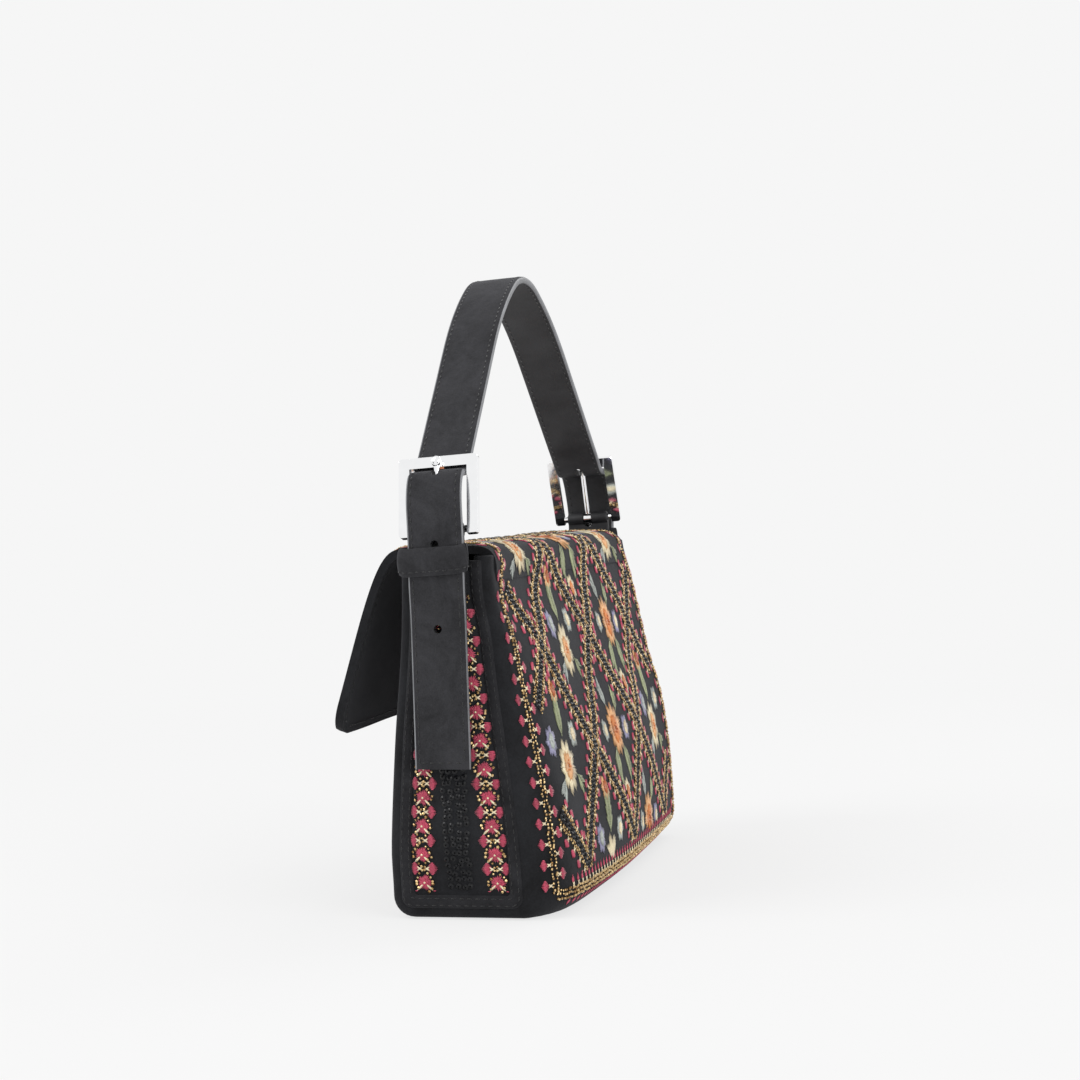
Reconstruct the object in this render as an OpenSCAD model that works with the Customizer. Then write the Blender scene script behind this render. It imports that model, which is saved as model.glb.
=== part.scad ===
/* [Bag body] */
// Length between the two end seams
bag_len = 260; // [230:1:290]
// Height of the front and back panels
bag_h = 147; // [130:1:160]
// Height of the end gussets, which stop below the mouth
gusset_h = 141; // [125:1:150]
// Half depth of the back at the mouth
back_top = 20; // [16:0.5:26]
// Half depth of the back above the base, right end
back_base_right = 27.5; // [24:0.5:36]
// Half depth of the back above the base, left end, where the soft body opens out
back_base_left = 41; // [28:0.5:44]
// Half depth of the front at the mouth
front_top = 19; // [16:0.5:24]
// Half depth of the front above the base, right end
front_base_right = 26; // [23:0.5:30]
// Half depth of the front above the base, left end
front_base_left = 28; // [23:0.5:30]
// How far the back swells at mid length
back_swell = 6; // [0:0.5:9]
// How far the front swells at mid length
front_swell = 2.5; // [0:0.5:3]
// Radius along the long edges of the base
corner_r = 9; // [7:0.5:12]
// Thickness of the padded suede walls
wall_t = 1.8; // [1.2:0.1:2.4]
// How far the middle of each gusset swells outwards
gusset_swell = 4; // [2:0.5:6]
// Width of the plain suede strip along the gusset seams
binding_w = 7; // [5:0.5:9]
// Thickness of that strip
binding_t = 1.2; // [0.8:0.1:1.6]

/* [Inside] */
// Thickness of the lining and of the mouth facing
lining_t = 1.2; // [0.8:0.1:1.6]
// Height of the suede facing inside the mouth
facing_h = 19; // [12:1:26]
// Thickness of the stiff board in the base
board_t = 2; // [1.5:0.1:3]
// Length of the zip pocket
pocket_len = 150; // [120:1:170]
// Height of the zip pocket
pocket_h = 78; // [60:1:84]
// Thickness of the zip pocket
pocket_t = 2; // [1.5:0.1:3]
// Width of the zip tape
tape_w = 14; // [12:0.5:18]
// Thickness of the zip tape
tape_t = 0.8; // [0.6:0.1:1.2]
// Step between zip teeth
tooth_step = 2.6; // [2.2:0.1:4]

/* [Flap] */
// Half width of the flap
flap_half = 123; // [110:1:124]
// Thickness of the flap, both skins and the stiffener
flap_t = 3.4; // [2.8:0.1:4.4]
// Length of the hanging part
drop_len = 80; // [60:1:84]
// Radius of its lower corners
drop_corner_r = 13; // [6:0.5:20]
// Angle of the hanging part from upright when it is shut
drop_shut = 5.5; // [5.5:0.5:12]
// Angle of the hanging part from upright as it stands
drop_stand = 22.5; // [14:0.5:26]
// Diameter of the magnetic snap
snap_d = 18; // [14:0.5:20]

/* [Handle] */
// Width of the strap
strap_w = 23; // [20:0.5:24]
// Thickness of the strap, both skins
strap_t = 3; // [2.4:0.1:3.2]
// Height of the top of the handle
handle_top = 269; // [250:1:300]
// Radius of the bend at the top
bend_r = 55; // [45:1:65]
// Lean of the handle towards the flap
handle_lean = 3.5; // [0:0.5:5]
// Height of the lower end of the hanging strap ends
tail_low = 62; // [50:1:90]
// Diameter of the spare strap holes
hole_d = 3.4; // [3:0.1:4]
// Step between strap holes
hole_step = 34; // [30:1:36]

/* [Buckle] */
// Outer side of the square frame
frame_side = 33.2; // [32:0.1:35]
// Width of the frame's bars
bar_w = 4.5; // [4.2:0.1:4.7]
// Thickness of the frame
frame_t = 3.2; // [2.6:0.1:3.4]
// Tilt of the frame from upright
frame_tilt = 16.5; // [14:0.5:18]
// Radius of the round bar that the chape and the prong turn on
pivot_r = 1.5; // [1.2:0.1:1.6]
// Radius of the prong
prong_r = 1.25; // [1:0.05:1.4]
// Height of the keeper loop
keeper_h = 12; // [9:0.5:13]
// Wall of the keeper loop
keeper_t = 1.5; // [1.2:0.1:1.8]

/* [Hidden] */
// Running clearance between pieces that move past each other
gap = 0.3;
// Clearance between layers of one body
fit = 0.15;
// Half length to the end seams
half_len = bag_len / 2;
// Half width of the strap
strap_half = strap_w / 2;
// Fullness of the section, from drawn in at the right end to full at the left end
full_right = 2;
full_left = 1.1;
// Stations along the length and levels up the height of the soft body
stations = 12;
levels = 8;
corner_steps = 3;

// Middle of the flap's thickness
flap_mid_z = bag_h + gap + flap_t / 2;
flap_r = flap_t / 2;
flap_skin_t = 1.6;
flap_lining_t = 1.2;
// Fold lines at the back edge and at the front shoulder
hinge_y = back_top - wall_t / 2;
shoulder_y = -(front_top + gap + flap_r);

// Frame outer face: its lower edge, then a slope along the tilt
face_x = half_len + 8;
face_z = 156.3;
tilt_s = sin(frame_tilt);
tilt_c = cos(frame_tilt);
// Point on the frame: s along the tilt from the lower edge, o outwards from the face
function on_frame(s, o) = [face_x - tilt_s * s + tilt_c * o, face_z + tilt_c * s + tilt_s * o];
pivot_s = bar_w / 2;
pivot = on_frame(pivot_s, -frame_t / 2);
pivot_x = pivot[0];
pivot_z = pivot[1];

// Where the strap is parted between the swinging handle and the fixed end
strap_end_r = strap_half + 0.9;
strap_cut_r = strap_half + 2.5;
// The same for the chape, whose swinging part stays inside the sweep of the frame's corners
sweep_r = sqrt(pow(frame_side / 2, 2) + pow(pivot_s, 2)) + gap;
chape_half = 10;
chape_t = 3.7;
chape_skin_t = 1.3;
chape_ring_r = pivot_r + gap + chape_skin_t;
chape_low = 120;
chape_out_x = face_x;
gusset_out_x = half_len + gusset_swell;

// Keeper loop and the strap inside it
keeper_back_x = face_x + gap;
keeper_top = 152;
strap_in_x = keeper_back_x + keeper_t + gap;
strap_out_x = strap_in_x + strap_t;
keeper_out_x = strap_out_x + gap + keeper_t;
keeper_half = strap_half + gap + keeper_t + 1.2;

// Arch of the handle: a tight bend, a wide bend, and a straight run to the buckle
wide_r = 170;
tight_angle = 24;
wide_angle = 42.5;
arch_c = [0, handle_top - bend_r];
wide_c = arch_c - (wide_r - bend_r) * [sin(tight_angle), cos(tight_angle)];
run_end = on_frame(frame_side + 1.1, -7.6);

snap_z = 90;
snap_t = 1.4;

function lerp(a, b, t) = a + (b - a) * t;
function reversed(a) = [for (i = [len(a) - 1:-1:0]) a[i]];
function bezier(a, b, c, d, t) =
    pow(1 - t, 3) * a + 3 * pow(1 - t, 2) * t * b + 3 * (1 - t) * t * t * c + pow(t, 3) * d;
// A path moved inwards by d, square to its own run
function moved(path, d) = [
    for (i = [0:len(path) - 1])
        let (
            a = path[max(i - 1, 0)],
            b = path[min(i + 1, len(path) - 1)],
            t = (b - a) / norm(b - a)
        )
        path[i] + d * [t[1], -t[0]]
];
function share(x) = (1 - x / half_len) / 2;
function belly(x) = 1 - pow(min(abs(x) / half_len, 1), 2);
function fall(z, power) = pow(cos(90 * min(max(z / bag_h, 0), 1)), power);
// Distance of the outer surface behind and before the middle plane
function back_y(x, z) =
    back_top
    + (lerp(back_base_right, back_base_left, share(x)) - back_top)
        * fall(z, lerp(full_right, full_left, share(x)))
    + back_swell * belly(x) * fall(z, 1);
function front_y(x, z) =
    front_top
    + (lerp(front_base_right, front_base_left, share(x)) - front_top) * fall(z, full_right)
    + front_swell * belly(x) * fall(z, 1);
// The round long edges of the base, seen w inside the outer surface
function edge_cut(z, w) =
    z - w >= corner_r - w ? 0
    : (corner_r - w) - sqrt(max(pow(corner_r - w, 2) - pow(corner_r - z, 2), 0));
function back_edge(x, z, w) = back_y(x, max(z, corner_r)) - w - edge_cut(z, w);
function front_edge(x, z, w) = front_y(x, max(z, corner_r)) - w - edge_cut(z, w);

// Heights of the levels of a section that runs from low to high
function heights(low, high) = concat(
    [for (i = [0:corner_steps - 1]) lerp(low, corner_r, 1 - cos(90 * i / corner_steps))],
    [for (i = [0:levels]) lerp(corner_r, high, i / levels)]
);

// Solid of the soft body, w inside its outer surface, between two heights
module core(w, half, low, high) {
    zs = heights(low, high);
    n = len(zs);
    ring = 2 * n;
    points = [
        for (i = [0:stations])
            let (x = lerp(-half, half, i / stations))
            for (k = [0:ring - 1])
                k < n ? [x, -front_edge(x, zs[n - 1 - k], w), zs[n - 1 - k]]
                : [x, back_edge(x, zs[k - n], w), zs[k - n]]
    ];
    sides = [
        for (i = [0:stations - 1], k = [0:ring - 1])
            let (a = i * ring + k, b = i * ring + (k + 1) % ring)
            for (face = [[a, b + ring, b], [a, a + ring, b + ring]]) face
    ];
    first = [[for (k = [0:ring - 1]) k]];
    last = [[for (k = [ring - 1:-1:0]) stations * ring + k]];
    polyhedron(points, concat(sides, first, last));
}

// Sheet between two grids of points of the same size
module sheet(one, other) {
    rows = len(one);
    cols = len(one[0]);
    n = rows * cols;
    points = [for (g = [one, other], row = g, p = row) p];
    function at(i, j) = i * cols + j;
    skins = [
        for (i = [0:rows - 2], j = [0:cols - 2])
            let (a = at(i, j), b = at(i, j + 1), c = at(i + 1, j + 1), d = at(i + 1, j))
            for (f = [[a, b, c], [a, c, d], [n + a, n + c, n + b], [n + a, n + d, n + c]]) f
    ];
    rim_rows = [
        for (j = [0:cols - 2])
            let (a = at(0, j), b = at(0, j + 1), c = at(rows - 1, j), d = at(rows - 1, j + 1))
            for (f = [[a, n + a, n + b], [a, n + b, b], [c, n + d, n + c], [c, d, n + d]]) f
    ];
    rim_cols = [
        for (i = [0:rows - 2])
            let (a = at(i, 0), b = at(i + 1, 0), c = at(i, cols - 1), d = at(i + 1, cols - 1))
            for (f = [[a, b, n + b], [a, n + b, n + a], [c, n + d, d], [c, n + c, n + d]]) f
    ];
    polyhedron(points, concat(skins, rim_rows, rim_cols));
}

// Front, base and back as one wall, open at the mouth and at both ends
module wall() {
    difference() {
        core(0, half_len, 0, bag_h);
        core(wall_t, half_len + 1, wall_t, bag_h + 1);
    }
}

// Height at which the side panels are sewn to the base
base_seam = 4;

module back_panel() color("#26262a") intersection() {
    wall();
    translate([-half_len - 1, 0, base_seam]) cube([bag_len + 2, 100, bag_h]);
}

module front_panel() color("#26262a") intersection() {
    wall();
    translate([-half_len - 1, -100, base_seam]) cube([bag_len + 2, 100, bag_h]);
}

module base_panel() color("#222226") intersection() {
    wall();
    translate([-half_len - 1, -100, -1]) cube([bag_len + 2, 200, base_seam + 1]);
}

// Columns across the gusset, and how far it swells at each
gusset_cols = 12;
function inset_share(y, low, high) =
    let (mid = (low + high) / 2, half = (high - low) / 2 - binding_w - 1)
    max(0, 1 - pow((y - mid) / half, 2));
function rise_share(z) = min(1, max(0, (z - corner_r) / 20));

// End gusset: a padded sheet that swells between its seams
module gusset(side) {
    zs = heights(wall_t + fit, gusset_h);
    w = wall_t + fit;
    x_seam = half_len - fit;
    function grid(depth) = [
        for (z = zs)
            let (
                low = -front_edge(side * half_len, z, w),
                high = back_edge(side * half_len, z, w)
            )
            [
                for (j = [0:gusset_cols])
                    let (
                        y = lerp(low, high, j / gusset_cols),
                        out = gusset_swell * inset_share(y, low, high) * rise_share(z)
                    )
                    [side * (x_seam + out - depth), y, z]
            ]
    ];
    if (side > 0) sheet(grid(wall_t), grid(0));
    else sheet(grid(0), grid(wall_t));
}
module gusset_right() color("#1f1f22") gusset(1);
module gusset_left() color("#1f1f22") gusset(-1);

// Suede strip turned over the seam, round the front, base and back edges
module section(x, w, low, high) {
    zs = heights(low, high);
    polygon(concat(
        [for (z = reversed(zs)) [-front_edge(x, z, w), z]],
        [for (z = zs) [back_edge(x, z, w), z]]
    ));
}
module binding(side) {
    x = side * half_len;
    translate([side > 0 ? x + fit / 3 : x - fit / 3 - binding_t, 0, 0])
        rotate([90, 0, 90]) linear_extrude(binding_t) difference() {
            section(x, 0, 0, bag_h - 0.5);
            section(x, binding_w, binding_w, bag_h + 1);
        }
}
module binding_right() color("#2c2c30") binding(1);
module binding_left() color("#2c2c30") binding(-1);

// Cloth and facing inside the walls
lining_w = wall_t + 2 * fit;
lining_half = half_len - wall_t - 3 * fit;
lining_low = wall_t + board_t + 2 * fit;
module inner_shell(low, high, floor_t) difference() {
    core(lining_w, lining_half, low, high);
    core(lining_w + lining_t, lining_half - lining_t, low + floor_t, high + 1);
}
facing_low = bag_h - facing_h;
module lining() color("#3a3434") inner_shell(lining_low, facing_low - fit, lining_t);
module mouth_facing() color("#2a2a2d") difference() {
    inner_shell(lining_low, bag_h - 0.6, lining_t);
    translate([-200, -100, -1]) cube([400, 200, facing_low + 1]);
    // Each end dips with its gusset
    for (side = [-1, 1])
        translate([side * half_len - 10, -100, gusset_h - 1]) cube([20, 200, 20]);
}

// Stiff board that lies in the base under the lining
module base_board() color("#4a4038") {
    inset = corner_r + 0.8;
    half = half_len - wall_t - 5;
    translate([0, 0, wall_t + fit / 2])
        linear_extrude(board_t)
            polygon(concat(
                [for (i = [0:stations]) let (x = lerp(-half, half, i / stations))
                    [x, back_y(x, corner_r) - inset]],
                [for (i = [0:stations]) let (x = lerp(half, -half, i / stations))
                    [x, inset - front_y(x, corner_r)]]
            ));
}

// Zip pocket on the back wall, its tape, teeth, slider and pull
pocket_w = lining_w + lining_t + fit;
pocket_top = facing_low - 1;
zip_z = pocket_top - tape_w / 2 - 2;
tape_half = pocket_len / 2 - 6;
module on_back(half, low, high, w, t) {
    cols = 10;
    rows = 6;
    function grid(d) = [
        for (i = [0:rows])
            [
                for (j = [0:cols])
                    let (x = lerp(-half, half, j / cols), z = lerp(low, high, i / rows))
                    [x, back_edge(x, z, d), z]
            ]
    ];
    sheet(grid(w), grid(w + t));
}
module zip_pocket() color("#3a3434")
    on_back(pocket_len / 2, pocket_top - pocket_h, pocket_top, pocket_w, pocket_t);
tape_face = pocket_w + pocket_t + fit / 2;
module zip_tape() color("#1c1c1e")
    on_back(tape_half, zip_z - tape_w / 2, zip_z + tape_w / 2, tape_face, tape_t);
// Straight line that the slider runs on, a chord of the curved wall
run_half = tape_half - 10;
tooth_face = tape_face + tape_t + fit / 2;
tooth_size = [1.4, 1.3, 3.2];
function run_y(x) = lerp(
    back_edge(-run_half, zip_z, tooth_face), back_edge(run_half, zip_z, tooth_face),
    (x + run_half) / (2 * run_half)
);
run_yaw = atan2(run_y(run_half) - run_y(-run_half), 2 * run_half);
// Slope of the wall behind the zip
zip_tilt = atan2(back_y(0, zip_z - 5) - back_y(0, zip_z + 5), 10);
module zip_teeth() color("#d8d8dc")
    for (i = [0:floor(2 * run_half / tooth_step)])
        let (x = -run_half + i * tooth_step)
        translate([x, back_edge(x, zip_z, tooth_face), zip_z]) rotate([zip_tilt, 0, 0])
            translate([0, -tooth_size[1] / 2, i % 2 == 0 ? 0.5 : -0.5]) cube(tooth_size, center = true);
slider_len = 9;
slider_h = 8;
slider_t = 1.6;
slider_x = run_half - slider_len / 2 - 1;
slider_y = run_y(slider_x) - tooth_size[1] - gap - 0.2;
lug_r = 1.9;
lug_w = 2.4;
lug_hole_r = 0.8;
lug_out = slider_t + 0.9;
module at_slider() translate([slider_x, slider_y, zip_z]) rotate([0, 0, run_yaw]) rotate([zip_tilt, 0, 0]) children();
module zip_slider() color("#e2e2e6") at_slider() difference() {
    union() {
        translate([0, -slider_t / 2, 0]) cube([slider_len, slider_t, slider_h], center = true);
        // Sides that reach past the teeth
        for (dz = [-1, 1])
            translate([0, 0.1, dz * (slider_h / 2 - 0.6)]) cube([slider_len, 1, 1.2], center = true);
        // Lug that holds the pull
        translate([-lug_w / 2, -lug_out, 0]) rotate([0, 90, 0]) cylinder(r = lug_r, h = lug_w, $fn = 32);
    }
    translate([-3, -lug_out, 0]) rotate([0, 90, 0]) cylinder(r = lug_hole_r + gap, h = 6, $fn = 32);
}
pull_len = 20;
pull_t = 1.2;
module zip_pull() color("#e2e2e6") at_slider() translate([0, -lug_out, 0]) {
    // Pin through the lug, two arms and the tab that hangs from them
    translate([-2.6, 0, 0]) rotate([0, 90, 0]) cylinder(r = lug_hole_r, h = 5.2, $fn = 32);
    for (dx = [-1, 1]) translate([dx * 2.1, 0, -2.2]) cube([1, pull_t, 5.4], center = true);
    translate([0, 0, -3.4 - pull_len / 2]) difference() {
        cube([5.2, pull_t, pull_len], center = true);
        translate([0, 2, 4 - pull_len / 2]) rotate([90, 0, 0]) cylinder(r = 1.3, h = 4, $fn = 32);
    }
}

// Swings the hanging part about the shoulder
module from_shoulder(angle) translate([0, shoulder_y, flap_mid_z]) rotate([-angle, 0, 0]) children();

// Outline of the hanging part, seen from the front
module drop_outline(start, inset = 0) {
    r = drop_corner_r - inset;
    w = flap_half - inset;
    low = -(drop_len - inset);
    translate([-w, low + r]) square([2 * w, -start - low - r]);
    translate([-w + r, low]) square([2 * (w - r), r + 1]);
    for (side = [-1, 1]) translate([side * (w - r), low + r]) circle(r, $fn = 64);
}
// Middle of its thickness, depth against height: it leaves the shoulder level and bends down
drop_rise = 9;
drop_steps = 16;
drop_path = [
    for (i = [0:drop_steps])
        bezier([0, 0], [-drop_rise, -3], [-3, -drop_len * 0.48], [0, -drop_len - 1], i / drop_steps)
];
function from_step(path, first) = [for (i = [first:len(path) - 1]) path[i]];
// Layer between two depths, measured outwards from its middle, from one step of the path down
module drop_layer(low, high, from, inset = 0) intersection() {
    w = flap_half - inset;
    translate([-w, 0, 0]) rotate([90, 0, 90]) linear_extrude(2 * w)
        polygon(concat(from_step(moved(drop_path, low), from), reversed(from_step(moved(drop_path, high), from))));
    translate([0, 10, 0]) rotate([90, 0, 0]) linear_extrude(40) drop_outline(-flap_r, inset);
}
lining_from = 2;
drop_seam = flap_r - flap_skin_t;
stiffener_in = -(flap_r - flap_lining_t);
module flap_drop_skin() color("#2a2a2e") from_shoulder(drop_stand) {
    drop_layer(drop_seam, flap_r, 0);
    translate([-flap_half, 0, 0]) rotate([0, 90, 0]) cylinder(r = flap_r, h = 2 * flap_half, $fn = 48);
}
module flap_drop_stiffener() color("#5a5248") from_shoulder(drop_stand)
    drop_layer(stiffener_in, drop_seam, lining_from, 4);
module flap_drop_lining() color("#1f1f22") from_shoulder(drop_stand) difference() {
    drop_layer(-flap_r, drop_seam, lining_from);
    drop_layer(stiffener_in, drop_seam + 1, lining_from - 1, 4);
}
module flap_top_skin() color("#2a2a2e") {
    front = shoulder_y + flap_r + gap;
    low = flap_mid_z - flap_r + flap_lining_t;
    translate([-flap_half, front, low])
        cube([2 * flap_half, hinge_y - front, flap_mid_z + flap_r - low]);
    translate([-flap_half, hinge_y, flap_mid_z]) rotate([0, 90, 0])
        cylinder(r = flap_r, h = 2 * flap_half, $fn = 48);
}
module flap_top_lining() color("#1f1f22") {
    front = shoulder_y + flap_r + gap;
    translate([-flap_half, front, flap_mid_z - flap_r])
        cube([2 * flap_half, hinge_y - flap_r - fit - front, flap_lining_t]);
}

// Magnetic snap: the socket on the front panel and the stud on the flap meet when it is shut
snap_slope = atan2(front_y(0, snap_z - 5) - front_y(0, snap_z + 5), 10);
module snap_disc(t) rotate([90, 0, 0]) cylinder(d = snap_d, h = t, $fn = 64);
module snap_socket() color("#c9c9cd")
    translate([0, -front_y(0, snap_z) - 0.2, snap_z]) rotate([-snap_slope, 0, 0]) difference() {
        snap_disc(snap_t);
        translate([0, -snap_t + 0.5, 0]) rotate([90, 0, 0]) cylinder(d = 7, h = 2, $fn = 48);
    }
stud_drop = (flap_mid_z - snap_z) / cos(drop_shut);
stud_t = 1.2;
// Inner face of the bent flap at the stud's lower and upper rims, on which it lies
function drop_in(z) = lookup(z, [for (p = reversed(moved(drop_path, -flap_r))) [p[1], p[0]]]);
stud_low = drop_in(-stud_drop - snap_d / 2);
stud_high = drop_in(-stud_drop + snap_d / 2);
module snap_stud() color("#c9c9cd") from_shoulder(drop_stand)
    translate([0, (stud_low + stud_high) / 2 + 0.05, -stud_drop])
        rotate([-atan2(stud_high - stud_low, snap_d), 0, 0]) rotate([0, 0, 180]) snap_disc(stud_t);

// Strap path in the plane of its length: outer skin, from the top down to the right end
function heading(a) = [cos(a), -sin(a)];
// Where it comes out under the frame's top bar, over the prong
knee = on_frame(frame_side - bar_w - 4.9, 2.6);
knee_heading = heading(16);
bulge_end = [strap_out_x, keeper_top + 1];
function arch(step) = concat(
    [for (a = [0:step:tight_angle]) arch_c + bend_r * [sin(a), cos(a)]],
    [for (a = [tight_angle + step:step:wide_angle]) wide_c + wide_r * [sin(a), cos(a)]]
);
function under_bar(n) = [
    for (i = [0:n]) bezier(run_end, run_end + 5 * heading(42), knee - 4.5 * knee_heading, knee, i / n)
];
function bulge(from, to, n) = [
    for (i = [0:n])
        bezier(
            knee, knee + 6.5 * knee_heading,
            [strap_out_x + 0.7, keeper_top + 17], bulge_end, lerp(from, to, i / n)
        )
];
function after_first(a) = [for (i = [1:len(a) - 1]) a[i]];
tail_x = chape_out_x + strap_t + 0.5;
tail_lean = 1.2;
function tail() = concat(
    [[strap_out_x, keeper_top - 4]],
    [
        for (i = [0:6])
            bezier(
                [strap_out_x, keeper_top - keeper_h - 1], [strap_out_x, keeper_top - 22],
                [tail_x, keeper_top - 24], [tail_x, keeper_top - 36], i / 6
            )
    ],
    [[tail_x - tail_lean, tail_low]]
);
function mirrored(path) = [for (p = reversed(path)) [-p[0], p[1]]];

module strip(path, from, to)
    rotate([90, 0, 0]) linear_extrude(strap_w, center = true)
        polygon(concat(moved(path, from), reversed(moved(path, to))));

handle_path = concat(arch(4), under_bar(6), after_first(bulge(0, 0.9, 9)));
whole_path = concat(mirrored(after_first(handle_path)), handle_path);
skin_share = 0.55;

module lean() translate([0, 0, pivot_z]) rotate([handle_lean, 0, 0]) translate([0, 0, -pivot_z]) children();

// Both skins of the handle, parted from the fixed ends and slotted for the prongs
module handle_layer(from, to) lean() difference() {
    strip(whole_path, from, to);
    translate([-200, 0, pivot_z]) rotate([0, 90, 0]) cylinder(r = strap_cut_r, h = 400, $fn = 96);
    for (side = [0, 1]) mirror([side, 0, 0]) in_frame()
        translate([slot_s, -prong_r - 0.6, -12]) cube([frame_side - bar_w - slot_s - 0.3, 2 * prong_r + 1.2, 24]);
}
slot_s = 19.6;
module handle_skin() color("#37373a") handle_layer(0, strap_t * skin_share);
module handle_lining() color("#2b2b2d") handle_layer(strap_t * skin_share, strap_t);

// Fixed end of the strap: it comes over the pivot bar, through the keeper and hangs free
module strap_end() color("#37373a") difference() {
    intersection() {
        strip(concat(bulge(0.3, 1, 9), tail()), 0, strap_t);
        union() {
            translate([0, 0, pivot_z]) rotate([0, 90, 0]) cylinder(r = strap_end_r, h = 200, $fn = 96);
            translate([0, -50, 0]) cube([200, 100, pivot_z]);
        }
    }
    // Thinned on the inside, clear of the chape as it turns
    translate([0, -50, pivot_z]) cube([pivot_x + chape_ring_r + gap, 100, 30]);
    for (i = [0, 1])
        translate([half_len, 0, keeper_top + 0.6 - i * hole_step]) rotate([0, 90, 0])
            cylinder(d = hole_d, h = 40, $fn = 32);
}
module strap_end_right() strap_end();
module strap_end_left() mirror([1, 0, 0]) strap_end();

// Turns a shape drawn with x along the tilt and z outwards into its place on the frame
module in_frame() translate([face_x, 0, face_z]) rotate([0, -90 - frame_tilt, 0]) mirror([0, 0, 1]) children();

// Square frame with a round pivot bar along its lower side
module frame() {
    r = 1.4;
    half = frame_side / 2;
    in_frame() difference() {
        translate([0, 0, -frame_t]) linear_extrude(frame_t) difference() {
            union() {
                translate([r, -half]) square([frame_side - 2 * r, frame_side]);
                translate([0, r - half]) square([frame_side, frame_side - 2 * r]);
                for (x = [r, frame_side - r], y = [r - half, half - r]) translate([x, y]) circle(r, $fn = 32);
            }
            translate([-1, bar_w - half]) square([frame_side - bar_w + 1, frame_side - 2 * bar_w]);
        }
        // Rest for the tip of the prong
        translate([frame_side - bar_w - 1, 0, prong_r + 0.35])
            rotate([0, 90, 0]) cylinder(r = prong_r + 0.65, h = bar_w + 2, $fn = 48);
    }
    translate([pivot_x, half - bar_w / 2, pivot_z]) rotate([90, 0, 0])
        cylinder(r = pivot_r, h = frame_side - bar_w, $fn = 48);
}
module frame_right() color("#e6e6ea") lean() frame();
module frame_left() color("#e6e6ea") lean() mirror([1, 0, 0]) frame();

// Leather loop round the pivot bar; its lower end turns inside the sweep of the frame
module chape_profile() {
    translate([pivot_x, pivot_z]) circle(r = chape_ring_r, $fn = 48);
    translate([chape_out_x - chape_t - 0.1, pivot_z - 30]) square([chape_t - 0.1, 30]);
}
module chape() intersection() {
    difference() {
        rotate([90, 0, 0]) linear_extrude(2 * chape_half, center = true) chape_profile();
        translate([pivot_x, 50, pivot_z]) rotate([90, 0, 0]) cylinder(r = pivot_r + gap, h = 100, $fn = 48);
        // Slot for the prong
        translate([pivot_x - 10, -prong_r - 1, pivot_z - 5]) cube([20, 2 * prong_r + 2, 20]);
    }
    translate([0, 0, pivot_z]) rotate([0, 90, 0]) cylinder(r = sweep_r - gap, h = 200, $fn = 96);
}
module chape_right() color("#303033") lean() chape();
module chape_left() color("#303033") lean() mirror([1, 0, 0]) chape();

// Lower part of the chape, sewn flat on the gusset
module chape_base() difference() {
    translate([gusset_out_x, -chape_half, chape_low])
        cube([chape_out_x - gusset_out_x, 2 * chape_half, pivot_z - chape_low]);
    translate([0, 0, pivot_z]) rotate([0, 90, 0]) cylinder(r = sweep_r, h = 200, $fn = 96);
}
module chape_base_right() color("#303033") chape_base();
module chape_base_left() color("#303033") mirror([1, 0, 0]) chape_base();

// Keeper: a closed leather loop round the strap, its back hollowed to clear the chape
module keeper() difference() {
    translate([0, 0, keeper_top - keeper_h]) linear_extrude(keeper_h) difference() {
        keeper_outline(keeper_out_x, keeper_back_x, keeper_half, 2);
        keeper_outline(strap_out_x + gap, strap_in_x - gap, keeper_half - keeper_t, 0.8);
    }
    translate([0, 0, pivot_z]) rotate([0, 90, 0])
        cylinder(r = chape_half + 1.4, h = strap_in_x, $fn = 96);
}
module keeper_outline(x_out, x_in, half, r) {
    translate([x_in, -half]) square([x_out - x_in - r, 2 * half]);
    translate([x_in, r - half]) square([x_out - x_in, 2 * (half - r)]);
    for (y = [r - half, half - r]) translate([x_out - r, y]) circle(r, $fn = 32);
}
module keeper_right() color("#37373a") keeper();
module keeper_left() color("#37373a") mirror([1, 0, 0]) keeper();

// Prong: a ring on the pivot bar and a shank with a round tip that rests on the frame
module prong() {
    tip = on_frame(frame_side - bar_w + 2.4, prong_r + 0.4);
    run = tip - [pivot_x, pivot_z];
    difference() {
        union() {
            translate([pivot_x, 1.8, pivot_z]) rotate([90, 0, 0])
                cylinder(r = pivot_r + 1.4, h = 3.6, $fn = 48);
            translate([pivot_x, 0, pivot_z]) rotate([0, atan2(run[0], run[1]), 0])
                rotate_extrude($fn = 48) intersection() {
                    union() {
                        square([prong_r, norm(run)]);
                        translate([0, norm(run)]) circle(r = prong_r, $fn = 48);
                    }
                    square([prong_r + 1, norm(run) + prong_r + 1]);
                }
        }
        translate([pivot_x, 10, pivot_z]) rotate([90, 0, 0]) cylinder(r = pivot_r + 0.2, h = 20, $fn = 48);
    }
}
module prong_right() color("#e6e6ea") lean() prong();
module prong_left() color("#e6e6ea") lean() mirror([1, 0, 0]) prong();

back_panel();
front_panel();
base_panel();
gusset_right();
gusset_left();
binding_right();
binding_left();
lining();
mouth_facing();
base_board();
zip_pocket();
zip_tape();
zip_teeth();
zip_slider();
zip_pull();
snap_socket();
chape_base_right();
chape_base_left();
keeper_right();
keeper_left();
strap_end_right();
strap_end_left();
flap_top_skin();
flap_top_lining();
flap_drop_skin();
flap_drop_stiffener();
flap_drop_lining();
snap_stud();
handle_skin();
handle_lining();
frame_right();
frame_left();
chape_right();
chape_left();
prong_right();
prong_left();
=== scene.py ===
import math

import bmesh
import bpy
import numpy as np
from mathutils import Matrix, Vector


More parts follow.
